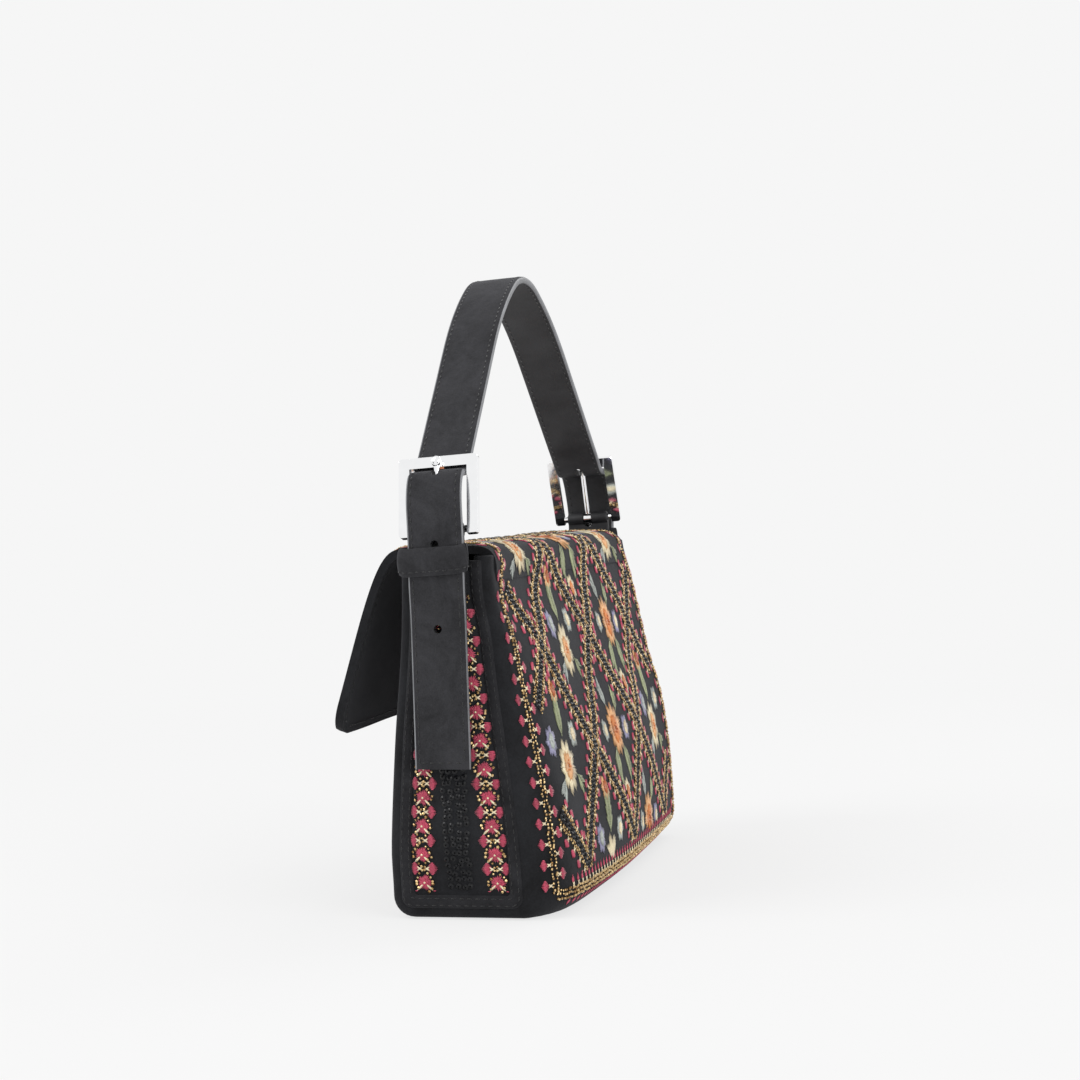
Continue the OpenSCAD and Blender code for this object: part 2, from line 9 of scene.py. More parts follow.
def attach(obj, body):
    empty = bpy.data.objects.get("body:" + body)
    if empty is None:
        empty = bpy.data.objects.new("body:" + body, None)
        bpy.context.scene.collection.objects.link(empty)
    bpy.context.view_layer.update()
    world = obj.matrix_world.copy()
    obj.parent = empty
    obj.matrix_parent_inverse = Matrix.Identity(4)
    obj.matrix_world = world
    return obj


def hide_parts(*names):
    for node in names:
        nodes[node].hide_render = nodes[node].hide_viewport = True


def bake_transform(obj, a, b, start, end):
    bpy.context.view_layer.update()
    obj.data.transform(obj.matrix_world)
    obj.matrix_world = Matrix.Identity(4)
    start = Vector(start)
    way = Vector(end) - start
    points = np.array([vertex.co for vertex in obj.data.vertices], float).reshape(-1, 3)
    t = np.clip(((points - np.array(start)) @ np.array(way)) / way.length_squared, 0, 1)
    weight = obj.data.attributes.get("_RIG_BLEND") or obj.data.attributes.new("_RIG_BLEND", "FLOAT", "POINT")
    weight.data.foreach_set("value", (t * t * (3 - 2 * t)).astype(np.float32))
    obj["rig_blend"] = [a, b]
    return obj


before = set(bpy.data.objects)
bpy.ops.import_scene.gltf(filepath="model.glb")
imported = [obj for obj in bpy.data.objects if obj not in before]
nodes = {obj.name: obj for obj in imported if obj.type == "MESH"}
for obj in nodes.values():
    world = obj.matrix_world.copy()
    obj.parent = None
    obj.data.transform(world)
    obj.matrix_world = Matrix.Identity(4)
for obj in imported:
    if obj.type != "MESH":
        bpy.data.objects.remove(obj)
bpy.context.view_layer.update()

# ---------------------------------------------------------------- studio
# A pale sweep of paper, an even sky of light and three large soft lamps.
# Three dark flags, seen by reflections alone, give the polished metal its dark edge lines.
PAPER = "#f6f6f6"
# Where the camera stands in metres, how it is turned, and its lens in mm, fitted to the buckles, handle and base
EYE = np.array([1.1582, 0.2944, 0.1751])
TURN, DOWN, ROLL = math.radians(103.88), math.radians(1.18), math.radians(-1.5)
LENS = 87.943


def linear(code):
    """sRGB hex to linear RGBA."""
    parts = [int(code[i:i + 2], 16) / 255 for i in (1, 3, 5)]
    return tuple(c / 12.92 if c <= 0.04045 else ((c + 0.055) / 1.055) ** 2.4 for c in parts) + (1.0,)


def add(tree, kind, inputs=None, **settings):
    """One node with its settings, its values and its links."""
    made = tree.nodes.new(kind)
    for key, value in settings.items():
        setattr(made, key, value)
    for key, value in (inputs or {}).items():
        if isinstance(value, bpy.types.NodeSocket):
            tree.links.new(value, made.inputs[key])
        else:
            made.inputs[key].default_value = value
    return made


def material(name):
    """A new material with its empty tree, its output node and the places on the object, in metres."""
    made = bpy.data.materials.new(name)
    made.use_nodes = True
    tree = made.node_tree
    tree.nodes.clear()
    out = tree.nodes.new("ShaderNodeOutputMaterial")
    return made, tree, out, add(tree, "ShaderNodeTexCoord").outputs["Object"]


def seen_rays(tree):
    """1 for camera, mirror and see-through rays, 0 for the light that reaches the bag."""
    path = add(tree, "ShaderNodeLightPath").outputs
    seen = path["Is Camera Ray"]
    for kind in ("Is Glossy Ray", "Is Transmission Ray"):
        seen = add(tree, "ShaderNodeMath", {0: seen, 1: path[kind]}, operation="MAXIMUM").outputs[0]
    return seen


def placed(name, bm, *finishes):
    """An object from a finished bmesh."""
    mesh = bpy.data.meshes.new(name)
    bm.to_mesh(mesh)
    bm.free()
    for finish in finishes:
        mesh.materials.append(finish)
    made = bpy.data.objects.new(name, mesh)
    scene.collection.objects.link(made)
    return made


scene = bpy.context.scene
scene.view_settings.view_transform = "Standard"

camera = bpy.data.objects.new("camera", bpy.data.cameras.new("camera"))
scene.collection.objects.link(camera)
scene.camera = camera
look = np.array([-math.sin(TURN) * math.cos(DOWN), math.cos(TURN) * math.cos(DOWN), -math.sin(DOWN)])
side = np.cross(look, (0, 0, 1))
side /= np.linalg.norm(side)
top = np.cross(side, look)
right = side * math.cos(ROLL) + top * math.sin(ROLL)
up = -side * math.sin(ROLL) + top * math.cos(ROLL)
pose = Matrix.Identity(4)
for row in range(3):
    pose[row][0], pose[row][1], pose[row][2], pose[row][3] = right[row], up[row], -look[row], EYE[row]
camera.matrix_world = pose
camera.data.lens = LENS
camera.data.sensor_width = 36
camera.data.clip_start, camera.data.clip_end = 0.01, 50

# Paper: camera, mirror and see-through rays find one even tone, and near the bag it takes the shadow
paper, tree, out, place = material("studio_paper")
reach = add(tree, "ShaderNodeVectorMath", {0: place}, operation="LENGTH")
far = add(tree, "ShaderNodeMapRange", {0: reach.outputs["Value"], 1: 0.3, 2: 1.1, 3: 0.78, 4: 1.0},
          interpolation_type="SMOOTHSTEP")
share_glow = add(tree, "ShaderNodeMath", {0: far.outputs[0], 1: seen_rays(tree)}, operation="MULTIPLY")
matte = add(tree, "ShaderNodeBsdfDiffuse", {"Color": linear("#f3f3f3")})
glow = add(tree, "ShaderNodeEmission", {"Color": linear(PAPER), "Strength": 1.0})
both = add(tree, "ShaderNodeMixShader", {0: share_glow.outputs[0], 1: matte.outputs[0], 2: glow.outputs[0]})
tree.links.new(both.outputs[0], out.inputs["Surface"])
bm = bmesh.new()
bmesh.ops.create_circle(bm, cap_ends=True, radius=12, segments=64)
floor = placed("paper_floor", bm, paper)
floor.location.z = -0.0004

world = bpy.data.worlds.new("studio_sky")
scene.world = world
world.use_nodes = True
tree = world.node_tree
tree.nodes.clear()
ambient = add(tree, "ShaderNodeBackground", {"Color": linear("#ffffff"), "Strength": 0.62})
shown = add(tree, "ShaderNodeBackground", {"Color": linear(PAPER), "Strength": 1.0})
both = add(tree, "ShaderNodeMixShader", {0: seen_rays(tree), 1: ambient.outputs[0], 2: shown.outputs[0]})
tree.links.new(both.outputs[0], add(tree, "ShaderNodeOutputWorld").inputs["Surface"])


def lamp(name, at, aim, size, watts):
    """A square soft box that points at a place."""
    light = bpy.data.lights.new(name, "AREA")
    light.size, light.energy = size, watts
    made = bpy.data.objects.new(name, light)
    made.location = at
    made.rotation_euler = (Vector(aim) - Vector(at)).to_track_quat("-Z", "Y").to_euler()
    scene.collection.objects.link(made)


lamp("key_box", (0.75, -1.05, 1.35), (0, 0, 0.08), 0.9, 13)
lamp("fill_box", (1.0, 1.25, 0.7), (0, 0, 0.1), 1.2, 9.5)
lamp("rim_box", (-1.2, 0.5, 1.0), (0, 0, 0.12), 0.9, 6)

flag, tree, out, _ = material("black_flag")
tree.links.new(add(tree, "ShaderNodeEmission", {"Color": linear("#1a1a1c")}).outputs[0], out.inputs["Surface"])
for number, (at, wide) in enumerate((((1.3, 0.42, 0.2), 0.16), ((0.9, -0.9, 0.12), 0.22), ((0.5, 1.0, 0.3), 0.18))):
    bm = bmesh.new()
    bmesh.ops.create_grid(bm, x_segments=1, y_segments=1, size=wide)
    card = placed(f"flag_{number}", bm, flag)
    card.location = at
    card.rotation_euler = (Vector((0, 0, 0.15)) - Vector(at)).to_track_quat("Z", "Y").to_euler()
    card.visible_camera = card.visible_diffuse = card.visible_shadow = card.visible_transmission = False

# ---------------------------------------------------------------- body wall
# Front, base and back are one padded piece of black suede, bagged out and rolled round its two end seams.
# It opens out towards the base and to the far end, as the soft body does where it stands.
HALF, TALL, ROUND = 130.0, 147.0, 9.0
BACK_TOP, BACK_RIGHT, BACK_LEFT, BACK_SWELL = 20.0, 27.5, 41.0, 6.0
FRONT_TOP, FRONT_RIGHT, FRONT_LEFT, FRONT_SWELL = 19.0, 26.0, 28.0, 2.5
WALL = 1.8
COVER_LOW = 137.0


def grow(x, a, b):
    """Smooth step from 0 at a to 1 at b."""
    t = np.clip((np.asarray(x, float) - a) / (b - a), 0, 1)
    return t * t * (3 - 2 * t)


def opening(x):
    """0 at the near end seam, 1 at the far one."""
    return (1 - x / HALF) / 2


def belly(x):
    """1 at the middle of the length, 0 at the end seams."""
    return 1 - np.minimum(np.abs(x) / HALF, 1) ** 2


def fall(z, power):
    """1 at the floor, 0 at the mouth."""
    return np.cos(np.pi / 2 * np.clip(z / TALL, 0, 1)) ** power


def slack(x, z, turn):
    """Soft hollows and swells of the padded wall, nothing at its seams, in mm."""
    calm = np.clip((HALF - 4 - np.abs(x)) / 22, 0, 1) * np.clip((TALL - 8 - z) / 30, 0, 1)
    calm = calm * np.clip((z - 8) / 22, 0, 1)
    waves = 0.55 * np.sin(x / 27 + z / 41 + turn) + 0.4 * np.sin(x / 15 - z / 23 + 2.1 * turn)
    return calm * (waves + 0.3 * np.sin(x / 61 + z / 17))


def back_y(x, z):
    """How far back the back stands, as its lining follows it."""
    full = 2 + (1.1 - 2) * opening(x)
    base = BACK_RIGHT + (BACK_LEFT - BACK_RIGHT) * opening(x)
    return BACK_TOP + (base - BACK_TOP) * fall(z, full) + BACK_SWELL * belly(x) * fall(z, 1) + slack(x, z, 0.7)


def back_out(x, z):
    """The back's outer face. Its padding bellies out beyond the lining, most low down near the near end's seam."""
    near, lift = 1 - opening(x), grow(COVER_LOW - z, 0, 25)
    ease = 2.2 * near * lift + 2.2 * opening(x) * grow(95 - z, 0, 25) * (1 - 0.6 * grow(60 - z, 0, 50))
    plump = 13 * (1 - np.minimum(np.abs(x) / HALF, 1) ** 12) * near ** 1.3 * fall(z, 1.2) * lift
    return back_y(x, z) + ease + plump + 4 * near ** 2 * fall(z, 2) * lift


def roll_size(x):
    """Radius of the soft bend from the back into the base: tight at the near end, wider at the far one."""
    return ROUND + 5.5 * opening(x)


def drawn_in(x, z):
    """How far that bend has taken the back in at a height."""
    size = roll_size(x)
    return size - np.sqrt(np.maximum(size ** 2 - (size - np.minimum(z, size)) ** 2, 0))


def front_y(x, z):
    """How far forward the front stands."""
    base = FRONT_RIGHT + (FRONT_LEFT - FRONT_RIGHT) * opening(x)
    stand = 1.1 * grow(z, 8, 30) * (1 - grow(z, 70, 120))
    swell = FRONT_SWELL * belly(x) * fall(z, 1)
    return FRONT_TOP + (base - FRONT_TOP) * fall(z, 2) + stand + swell + 0.6 * slack(x, z, 2.9)


def ring(x, inside, front_high=TALL, back_high=TALL, low=0.0, many=26, back=back_y):
    """(y, z) round the section at x, from the front's mouth under the base to the back's mouth, so far inside."""
    turns = np.linspace(0, np.pi / 2, 9)[1:]
    parts = []
    for sign, wall, high, size in ((-1, front_y, front_high, ROUND), (1, back, back_high, roll_size(x))):
        bend = max(size - inside, 1.5)
        foot = inside + bend + low
        z = np.linspace(high, foot, many)
        edge = wall(x, np.maximum(z, size)) - inside
        centre = edge[-1] - bend
        y = np.concatenate([edge, centre + bend * np.cos(turns)])
        z = np.concatenate([z, foot - bend * np.sin(turns)])
        parts.append(np.stack([sign * y, z], 1))
    front, back = parts
    middle = np.linspace(front[-1], back[-1], 11)[1:-1]
    return np.concatenate([front, middle, back[::-1]])


def at_x(x, line):
    """The (y, z) points of a line, stood at one x."""
    return np.column_stack([np.full(len(line), x), line])


def sheet_mesh(name, outer, inner, finishes, slots=(0, 0, 0), bulge=0.0, closed=False):
    """A closed sheet between two grids of points in mm. Its rim has one more row, pushed out by bulge to be round.
    slots are the finishes of the outer face, the inner face and the rim. A closed one's columns are joined."""
    rows, cols = outer.shape[:2]
    count = rows * cols
    points = [outer.reshape(-1, 3), inner.reshape(-1, 3)]
    faces, marks = [], []
    last = cols if closed else cols - 1
    for i in range(rows - 1):
        for j in range(last):
            a, b = i * cols + j, i * cols + (j + 1) % cols
            c, d = b + cols, a + cols
            faces += [(a, b, c, d), (a + count, d + count, c + count, b + count)]
            marks += [slots[0], slots[1]]
    middle = (outer + inner) / 2
    if closed:
        loops = [[(0, j, 1, j) for j in range(cols)], [(rows - 1, j, rows - 2, j) for j in range(cols)]]
    else:
        loops = [
            [(0, j, 1, j) for j in range(cols)]
            + [(i, cols - 1, i, cols - 2) for i in range(1, rows)]
            + [(rows - 1, j, rows - 2, j) for j in range(cols - 2, -1, -1)]
            + [(i, 0, i, 1) for i in range(rows - 2, 0, -1)]
        ]
    base = 2 * count
    for loop in loops:
        rim = []
        for i, j, k, m in loop:
            away = middle[i, j] - middle[k, m]
            rim.append(middle[i, j] + away / max(np.linalg.norm(away), 1e-6) * bulge)
        points.append(np.array(rim))
        n = len(loop)
        for e in range(n):
            f = (e + 1) % n
            p, q = loop[e][0] * cols + loop[e][1], loop[f][0] * cols + loop[f][1]
            faces += [(p, q, base + f, base + e), (base + e, base + f, q + count, p + count)]
            marks += [slots[2], slots[2]]
        base += n
    return solid(name, np.concatenate(points), faces, finishes, marks)


def smooth(mesh, sharp):
    """Shades a mesh round, but not over bends sharper than so many degrees."""
    mesh.polygons.foreach_set("use_smooth", [True] * len(mesh.polygons))
    mesh.set_sharp_from_angle(angle=math.radians(sharp))


def solid(name, points, faces, finishes, marks=None, sharp=40):
    """An object from points in mm, its faces turned outwards and its bends shaded round."""
    mesh = bpy.data.meshes.new(name)
    mesh.from_pydata([tuple(p) for p in np.asarray(points) * 0.001], [], faces)
    for finish in finishes:
        mesh.materials.append(finish)
    if marks is not None:
        mesh.polygons.foreach_set("material_index", marks)
    bm = bmesh.new()
    bm.from_mesh(mesh)
    bmesh.ops.remove_doubles(bm, verts=bm.verts, dist=1e-7)
    bmesh.ops.recalc_face_normals(bm, faces=bm.faces)
    bm.to_mesh(mesh)
    bm.free()
    smooth(mesh, sharp)
    made = bpy.data.objects.new(name, mesh)
    scene.collection.objects.link(made)
    return made


def noise(tree, place, scale, detail, **more):
    """Noise of a fineness, as a value."""
    return add(tree, "ShaderNodeTexNoise", {"Vector": place, "Scale": scale, "Detail": detail, **more}).outputs["Fac"]


def weighed(tree, value, share, base=0.0):
    """A share of one value on top of another."""
    return add(tree, "ShaderNodeMath", {0: value, 1: share, 2: base}, operation="MULTIPLY_ADD").outputs[0]


def tones(tree, value, deep, pale, low=0.0, high=1.0):
    """From one colour to another as the value goes from low to high."""
    ramp = add(tree, "ShaderNodeValToRGB", {0: value})
    for mark, at, colour in zip(ramp.color_ramp.elements, (low, high), (deep, pale)):
        mark.position, mark.color = at, colour
    return ramp.outputs["Color"]


def relief(tree, height, strength, distance):
    """A bumpy normal from a height, its full depth in metres."""
    return add(tree, "ShaderNodeBump", {"Height": height, "Strength": strength, "Distance": distance}).outputs[0]


def surface(tree, out, values):
    """The material's one shader."""
    tree.links.new(add(tree, "ShaderNodeBsdfPrincipled", values).outputs[0], out.inputs["Surface"])


def suede(name, deep, pale, brushed, sheen=0.25):
    """Calf suede, dyed and brushed: a dull nap of short fibres that lies lighter and darker in soft clouds where it was
    stroked. The fibres are drawn 0.5 mm apart, coarser than the real 0.1 mm, so that they show."""
    made, tree, out, place = material(name)
    clouds = noise(tree, place, brushed, 4, Roughness=0.6, Distortion=0.8)
    mottle = noise(tree, place, 420, 3, Roughness=0.7)
    fibres = noise(tree, place, 2000, 2, Roughness=0.6)
    mixed = weighed(tree, fibres, 0.3, weighed(tree, mottle, 0.22, weighed(tree, clouds, 0.6)))
    surface(tree, out, {
        "Base Color": tones(tree, mixed, linear(deep), linear(pale), 0.42, 0.70),
        "Roughness": 0.93, "Specular IOR Level": 0.25,
        "Sheen Weight": sheen, "Sheen Roughness": 0.45, "Sheen Tint": linear("#9a9aa0"),
        "Normal": relief(tree, weighed(tree, mottle, 0.7, fibres), 0.55, 0.00025)})
    return made


body_suede = suede("black_suede", "#121214", "#252629", 38, 0.2)
body_inside = suede("black_suede_facing", "#141416", "#232426", 30, 0.15)

ends = [(126.0, 0.0), (127.5, 0.3), (128.8, 1.0), (129.6, 2.0), (130.0, 3.3), (130.1, 4.8), (129.2, 5.8)]
stations = [(-x, w) for x, w in reversed(ends)] + [(x, 0.0) for x in np.linspace(-121, 121, 45)] + ends
outer, inner = [], []
for x, w in stations:
    at = max(-HALF, min(HALF, x))
    line = ring(at, w, back=back_out)
    # The back steps in under the flap's skin, which carries on from it
    step = 0.9 * grow(line[:, 1], COVER_LOW - 1.5, COVER_LOW + 0.5) * (line[:, 0] > 0)
    line[:, 0] -= step
    outer.append(at_x(x, line))
    thick = WALL if abs(x) < 124 else 1.2
    line = ring(at, w + thick)
    line[:, 0] -= step
    inner_x = x - math.copysign(min(thick, 0.9), x) if abs(x) > 126 else x
    inner.append(at_x(inner_x, line))
body_wall = sheet_mesh("body_wall", np.array(outer), np.array(inner), [body_suede, body_inside], (0, 1, 0), 0.5)
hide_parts("back_panel", "front_panel", "base_panel")
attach(body_wall, "bag")

# ---------------------------------------------------------------- end gussets
# Each end is a soft suede panel sewn between the wall's edges. It swells a little and hangs in upright folds,
# and its top edge is turned over and stops below the mouth.
GUSSET_HIGH, GUSSET_SWELL, GUSSET_INSET = 141.0, 4.0, 8.3
BOTH_ENDS = (("right", 1), ("left", -1))


def end_shape(y, z, low, high, sign):
    """How far the end panel stands out, in mm: the swell between its seams and its soft upright folds."""
    t = (y - low) / (high - low)
    free = np.clip(4 * t * (1 - t), 0, 1)
    swell = GUSSET_SWELL * free ** 0.8 * grow(z, 9, 34)
    fold = 0.5 * np.sin(t * 13 + z / 60 + sign) * grow(z, 14, 50) * free
    hang = -1.2 * grow(z, 112, 141) * free
    return swell + fold + hang - 0.5


def end_panel(sign, deep):
    """Grid of the end panel's face, rows up and columns from the front to the back."""
    rows = []
    x = sign * HALF
    for z in np.concatenate([np.linspace(GUSSET_INSET + 0.4, 30, 8), np.linspace(34, GUSSET_HIGH, 28)]):
        low = GUSSET_INSET - float(front_y(x, max(z, ROUND)))
        high = float(back_out(x, max(z, ROUND))) - GUSSET_INSET
        y = np.linspace(low, high, 29)
        out_x = HALF + end_shape(y, z, low, high, sign) - deep
        rows.append(np.column_stack([sign * out_x, y, np.full_like(y, z)]))
    return np.array(rows)


gussets = {}
for label, sign in BOTH_ENDS:
    face = end_panel(sign, 0.0)
    gussets[label] = sheet_mesh(f"gusset_panel_{label}", face, end_panel(sign, WALL), [body_suede, body_inside],
                                (0, 1, 0), 0.8)
    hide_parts(f"gusset_{label}")
    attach(gussets[label], "bag")

# ---------------------------------------------------------------- seam borders
# A plain strip of suede, 5 mm of it on show, is turned over the seam round each end.
# It is stitched down along both edges.
border_suede = suede("black_suede_border", "#161618", "#2c2c2f", 60, 0.25)
for label, sign in BOTH_ENDS:
    profile = [(4.4, 130.15), (4.8, 130.75), (5.7, 131.1), (6.9, 131.15), (8.2, 131.0), (9.1, 130.6), (9.5, 129.9)]
    outer, inner = [], []
    for w, x in profile:
        line = ring(sign * HALF, w, TALL - 0.8, TALL - 1.6, back=back_out)
        outer.append(at_x(sign * x, line))
        inner.append(at_x(sign * min(129.8, x - 0.5), line))
    strip = sheet_mesh(f"seam_border_{label}", np.array(outer), np.array(inner), [border_suede], bulge=0.3)
    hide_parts(f"binding_{label}")
    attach(strip, "bag")

# ---------------------------------------------------------------- lining, facing and pocket
# Inside, a cotton twill lining is hung from a suede facing that is glued round the mouth.
# A zip pocket of the same twill lies on the back wall, and a stiff board keeps the base flat.


def twill(name, deep, pale, step=0.8):
    """Cotton twill: diagonal ribs, drawn 0.8 mm apart so that they show, with a little slub."""
    made, tree, out, place = material(name)
    turned = add(tree, "ShaderNodeMapping", {"Vector": place, "Rotation": (0, math.radians(35), math.radians(20))})
    ribs = add(tree, "ShaderNodeTexWave", {
        "Vector": turned.outputs[0], "Scale": 1000 / step / 6.283, "Distortion": 1.2, "Detail": 1})
    mixed = weighed(tree, ribs.outputs["Fac"], 0.6, noise(tree, place, 160, 3))
    surface(tree, out, {
        "Base Color": tones(tree, mixed, linear(deep), linear(pale), 0.35),
        "Roughness": 0.85, "Specular IOR Level": 0.3, "Normal": relief(tree, mixed, 0.5, 0.0002)})
    return made


def joined(name, parts):
    """Several objects made one, the first one's name kept out of it."""
    bm = bmesh.new()
    finishes = []
    for part in parts:
        moves = []
        for finish in part.data.materials:
            if finish not in finishes:
                finishes.append(finish)
            moves.append(finishes.index(finish))
        start = len(bm.faces)
        bm.from_mesh(part.data)
        bm.faces.ensure_lookup_table()
        for face in bm.faces[start:]:
            face.material_index = moves[face.material_index]
        bpy.data.objects.remove(part)
    return placed(name, bm, *finishes)


def cup(name, inside, half, low, high, thick, finish, puckers=0.0):
    """A layer inside the walls from one height to another, with its two ends, and a floor where it reaches the base."""
    faces = []
    for deep in (inside, inside + thick):
        rows = []
        for x in np.linspace(-half, half, 41):
            line = ring(x, deep, high, high, low=max(0.0, low - deep) if low < 20 else 0.0, many=22)
            line[:, 0] += puckers * np.sin(x / 9) * np.sin(line[:, 1] / 31) * np.sign(line[:, 0])
            rows.append(at_x(x, line))
        faces.append(np.array(rows))
    outer, inner = faces
    if low > 20:
        keep_front = outer[0, :22, 2] >= low
        parts = []
        n = int(keep_front.sum())
        for cut in (slice(0, n), slice(outer.shape[1] - n, outer.shape[1])):
            parts.append(sheet_mesh(name + "_side", outer[:, cut], inner[:, cut], [finish], bulge=0.3))
    else:
        parts = [sheet_mesh(name + "_side", outer, inner, [finish], bulge=0.3)]
    for sign in (-1, 1):
        x = sign * half
        rows = []
        for z in np.linspace(max(low, inside + 1.0) + 0.5, min(high, GUSSET_HIGH - 1), 14):
            span = np.linspace(-float(front_y(x, max(z, ROUND))) + inside + 1.0 + max(0, 6 - z) * 0.7,
                               float(back_y(x, max(z, ROUND))) - inside - 1.0 - float(drawn_in(x, z)), 15)
            rows.append(np.column_stack([np.full(15, x), span, np.full(15, z)]))
        rows = np.array(rows)
        deeper = rows.copy()
        deeper[:, :, 0] -= sign * thick
        parts.append(sheet_mesh(name + "_end", rows, deeper, [finish], bulge=0.3))
    return joined(name, parts)


FACING_LOW = TALL - 19
lining_cloth = twill("twill_lining", "#2a2526", "#4a4243")
lining = cup("twill_lining", 2.5, HALF - 3.4, 4.2, FACING_LOW + 0.4, 0.9, lining_cloth, 0.25)
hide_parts("lining")
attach(lining, "bag")
facing = cup("mouth_facing_band", 2.2, HALF - 2.8, FACING_LOW, TALL - 0.6, 1.2, body_inside)
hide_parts("mouth_facing")
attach(facing, "bag")


def patch(name, half, low, high, inside, thick, finish, soft=0.0):
    """A sheet that lies against the back wall."""
    faces = []
    for deep in (inside, inside + thick):
        rows = []
        for z in np.linspace(low, high, 17):
            x = np.linspace(-half, half, 31)
            y = back_y(x, np.maximum(z, ROUND)) - deep
            if deep > inside:
                full = math.sin(math.pi * (z - low) / (high - low)) ** 0.5 * (1 + 0.4 * np.sin(x / 11 + z / 9))
                y = y - soft * np.clip((half - np.abs(x)) / 25, 0, 1) * full
            rows.append(np.column_stack([x, y, np.full_like(x, z)]))
        faces.append(np.array(rows))
    return sheet_mesh(name, faces[0], faces[1], [finish], bulge=0.4)


POCKET_TOP = FACING_LOW - 1
ZIP_Z = POCKET_TOP - 9
pocket = patch("zip_pocket_bag", 75, POCKET_TOP - 78, POCKET_TOP, 3.5, 1.5, lining_cloth, 0.5)
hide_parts("zip_pocket")
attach(pocket, "bag")
tape_cloth = twill("zip_tape_cloth", "#121213", "#242426", 0.6)
tape = patch("zip_tape_band", 69, ZIP_Z - 7, ZIP_Z + 7, 5.25, 0.75, tape_cloth)
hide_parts("zip_tape")
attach(tape, "bag")

# Pressed paper fibre: flat, speckled, a little fluffy at the cut
fibreboard, tree, out, place = material("grey_fibreboard")
speck = noise(tree, place, 900, 4)
surface(tree, out, {
    "Base Color": tones(tree, speck, linear("#3c342d"), linear("#5c5045")), "Roughness": 0.9,
    "Normal": relief(tree, speck, 0.3, 0.0002)})
nodes["base_board"].data.materials.clear()
nodes["base_board"].data.materials.append(fibreboard)

# ---------------------------------------------------------------- bright metal
# The buckles are cast zinc, polished and nickel plated. The zip's teeth and slider are die cast and less bright.


def plated(name, tone, rough, marks):
    """Nickel plate over polished zinc: near white, mirror bright, with faint wiping marks 0.3 mm wide."""
    made, tree, out, place = material(name)
    haze = noise(tree, place, 260, 3, Roughness=0.7)
    level = add(tree, "ShaderNodeMapRange", {0: haze, 1: 0.3, 2: 0.8, 3: rough, 4: rough + marks})
    surface(tree, out, {
        "Base Color": tones(tree, haze, linear("#f3f4f5"), linear(tone)), "Metallic": 1.0,
        "Roughness": level.outputs[0], "Normal": relief(tree, haze, 0.03, 0.0002)})
    return made


nickel = plated("polished_nickel", "#fcfcfd", 0.05, 0.06)
zip_nickel = plated("die_cast_nickel", "#d9dade", 0.22, 0.15)
for name in ("frame_right", "frame_left", "prong_right", "prong_left", "snap_socket", "snap_stud", "zip_teeth",
             "zip_slider", "zip_pull"):
    part = nodes[name]
    part.data.materials.clear()
    part.data.materials.append(zip_nickel if name.startswith("zip") or name.startswith("snap") else nickel)
    if name.startswith("frame"):
        # Broken edges, 0.35 mm, as a tumbled casting has
        weld = part.modifiers.new("weld", "WELD")
        weld.merge_threshold = 1e-6
        bevel = part.modifiers.new("edge", "BEVEL")
        bevel.width, bevel.segments, bevel.limit_method, bevel.angle_limit = 0.00035, 2, "ANGLE", math.radians(40)
        bevel.harden_normals = True
# Each prong's end is upset into a round tip, 4 mm wide, that rests on the bar and leans with the frame
TILT = math.radians(16.5)
for label, sign in BOTH_ENDS:
    prong = nodes[f"prong_{label}"]
    points = np.array([prong.matrix_world @ v.co for v in prong.data.vertices])
    end = Vector(points[points[:, 2] > points[:, 2].max() - 0.0008].mean(0))
    up = Vector((-sign * math.sin(TILT), 0, math.cos(TILT)))
    out_by = Vector((sign * math.cos(TILT), 0, math.sin(TILT)))
    middle = end - up * 0.0015 + out_by * 0.0002
    bm = bmesh.new()
    bmesh.ops.create_uvsphere(bm, u_segments=24, v_segments=14, radius=1)
    for v in bm.verts:
        v.co = middle + out_by * v.co.x * 0.0013 + Vector((0, 1, 0)) * v.co.y * 0.0021 + up * v.co.z * 0.0023
    bmesh.ops.recalc_face_normals(bm, faces=bm.faces)
    tip = placed(f"prong_tip_{label}", bm, nickel)
    tip.data.polygons.foreach_set("use_smooth", [True] * len(tip.data.polygons))
    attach(tip, "prong_r" if sign > 0 else "prong_l")

# ---------------------------------------------------------------- flap
# The back's suede carries on over the mouth as the flap, with a stiffener and a black suede lining. It is top-stitched
# near its edge, its lower corners are round, and it stands a little ajar.
FLAP_HALF, FLAP_T, HEM_ROUND = 123.0, 3.4, 13.0
SHOULDER = np.array([-21.0, 149.0])
STAND = math.radians(22.5)


def bezier(a, b, c, d, t):
    """Points of a cubic curve."""
    a, b, c, d = (np.asarray(p, float) for p in (a, b, c, d))
    t = np.asarray(t, float)[:, None]
    return (1 - t) ** 3 * a + 3 * (1 - t) ** 2 * t * b + 3 * (1 - t) * t * t * c + t ** 3 * d


def outward(line):
    """Directions square to a line's own run, to its outer side."""
    run = np.gradient(line, axis=0)
    run /= np.linalg.norm(run, axis=1)[:, None]
    return np.column_stack([run[:, 1], -run[:, 0]])


def distances(line):
    """How far along a line each of its points is."""
    return np.concatenate([[0], np.cumsum(np.linalg.norm(np.diff(line, axis=0), axis=1))])


def sampled(at, far, line):
    """The line's points, read at places along it."""
    return np.column_stack([np.interp(at, far, column) for column in line.T])


def even(line, step):
    """The same line with its points a step apart."""
    far = distances(line)
    return sampled(np.linspace(0, far[-1], max(2, int(round(far[-1] / step)) + 1)), far, line)


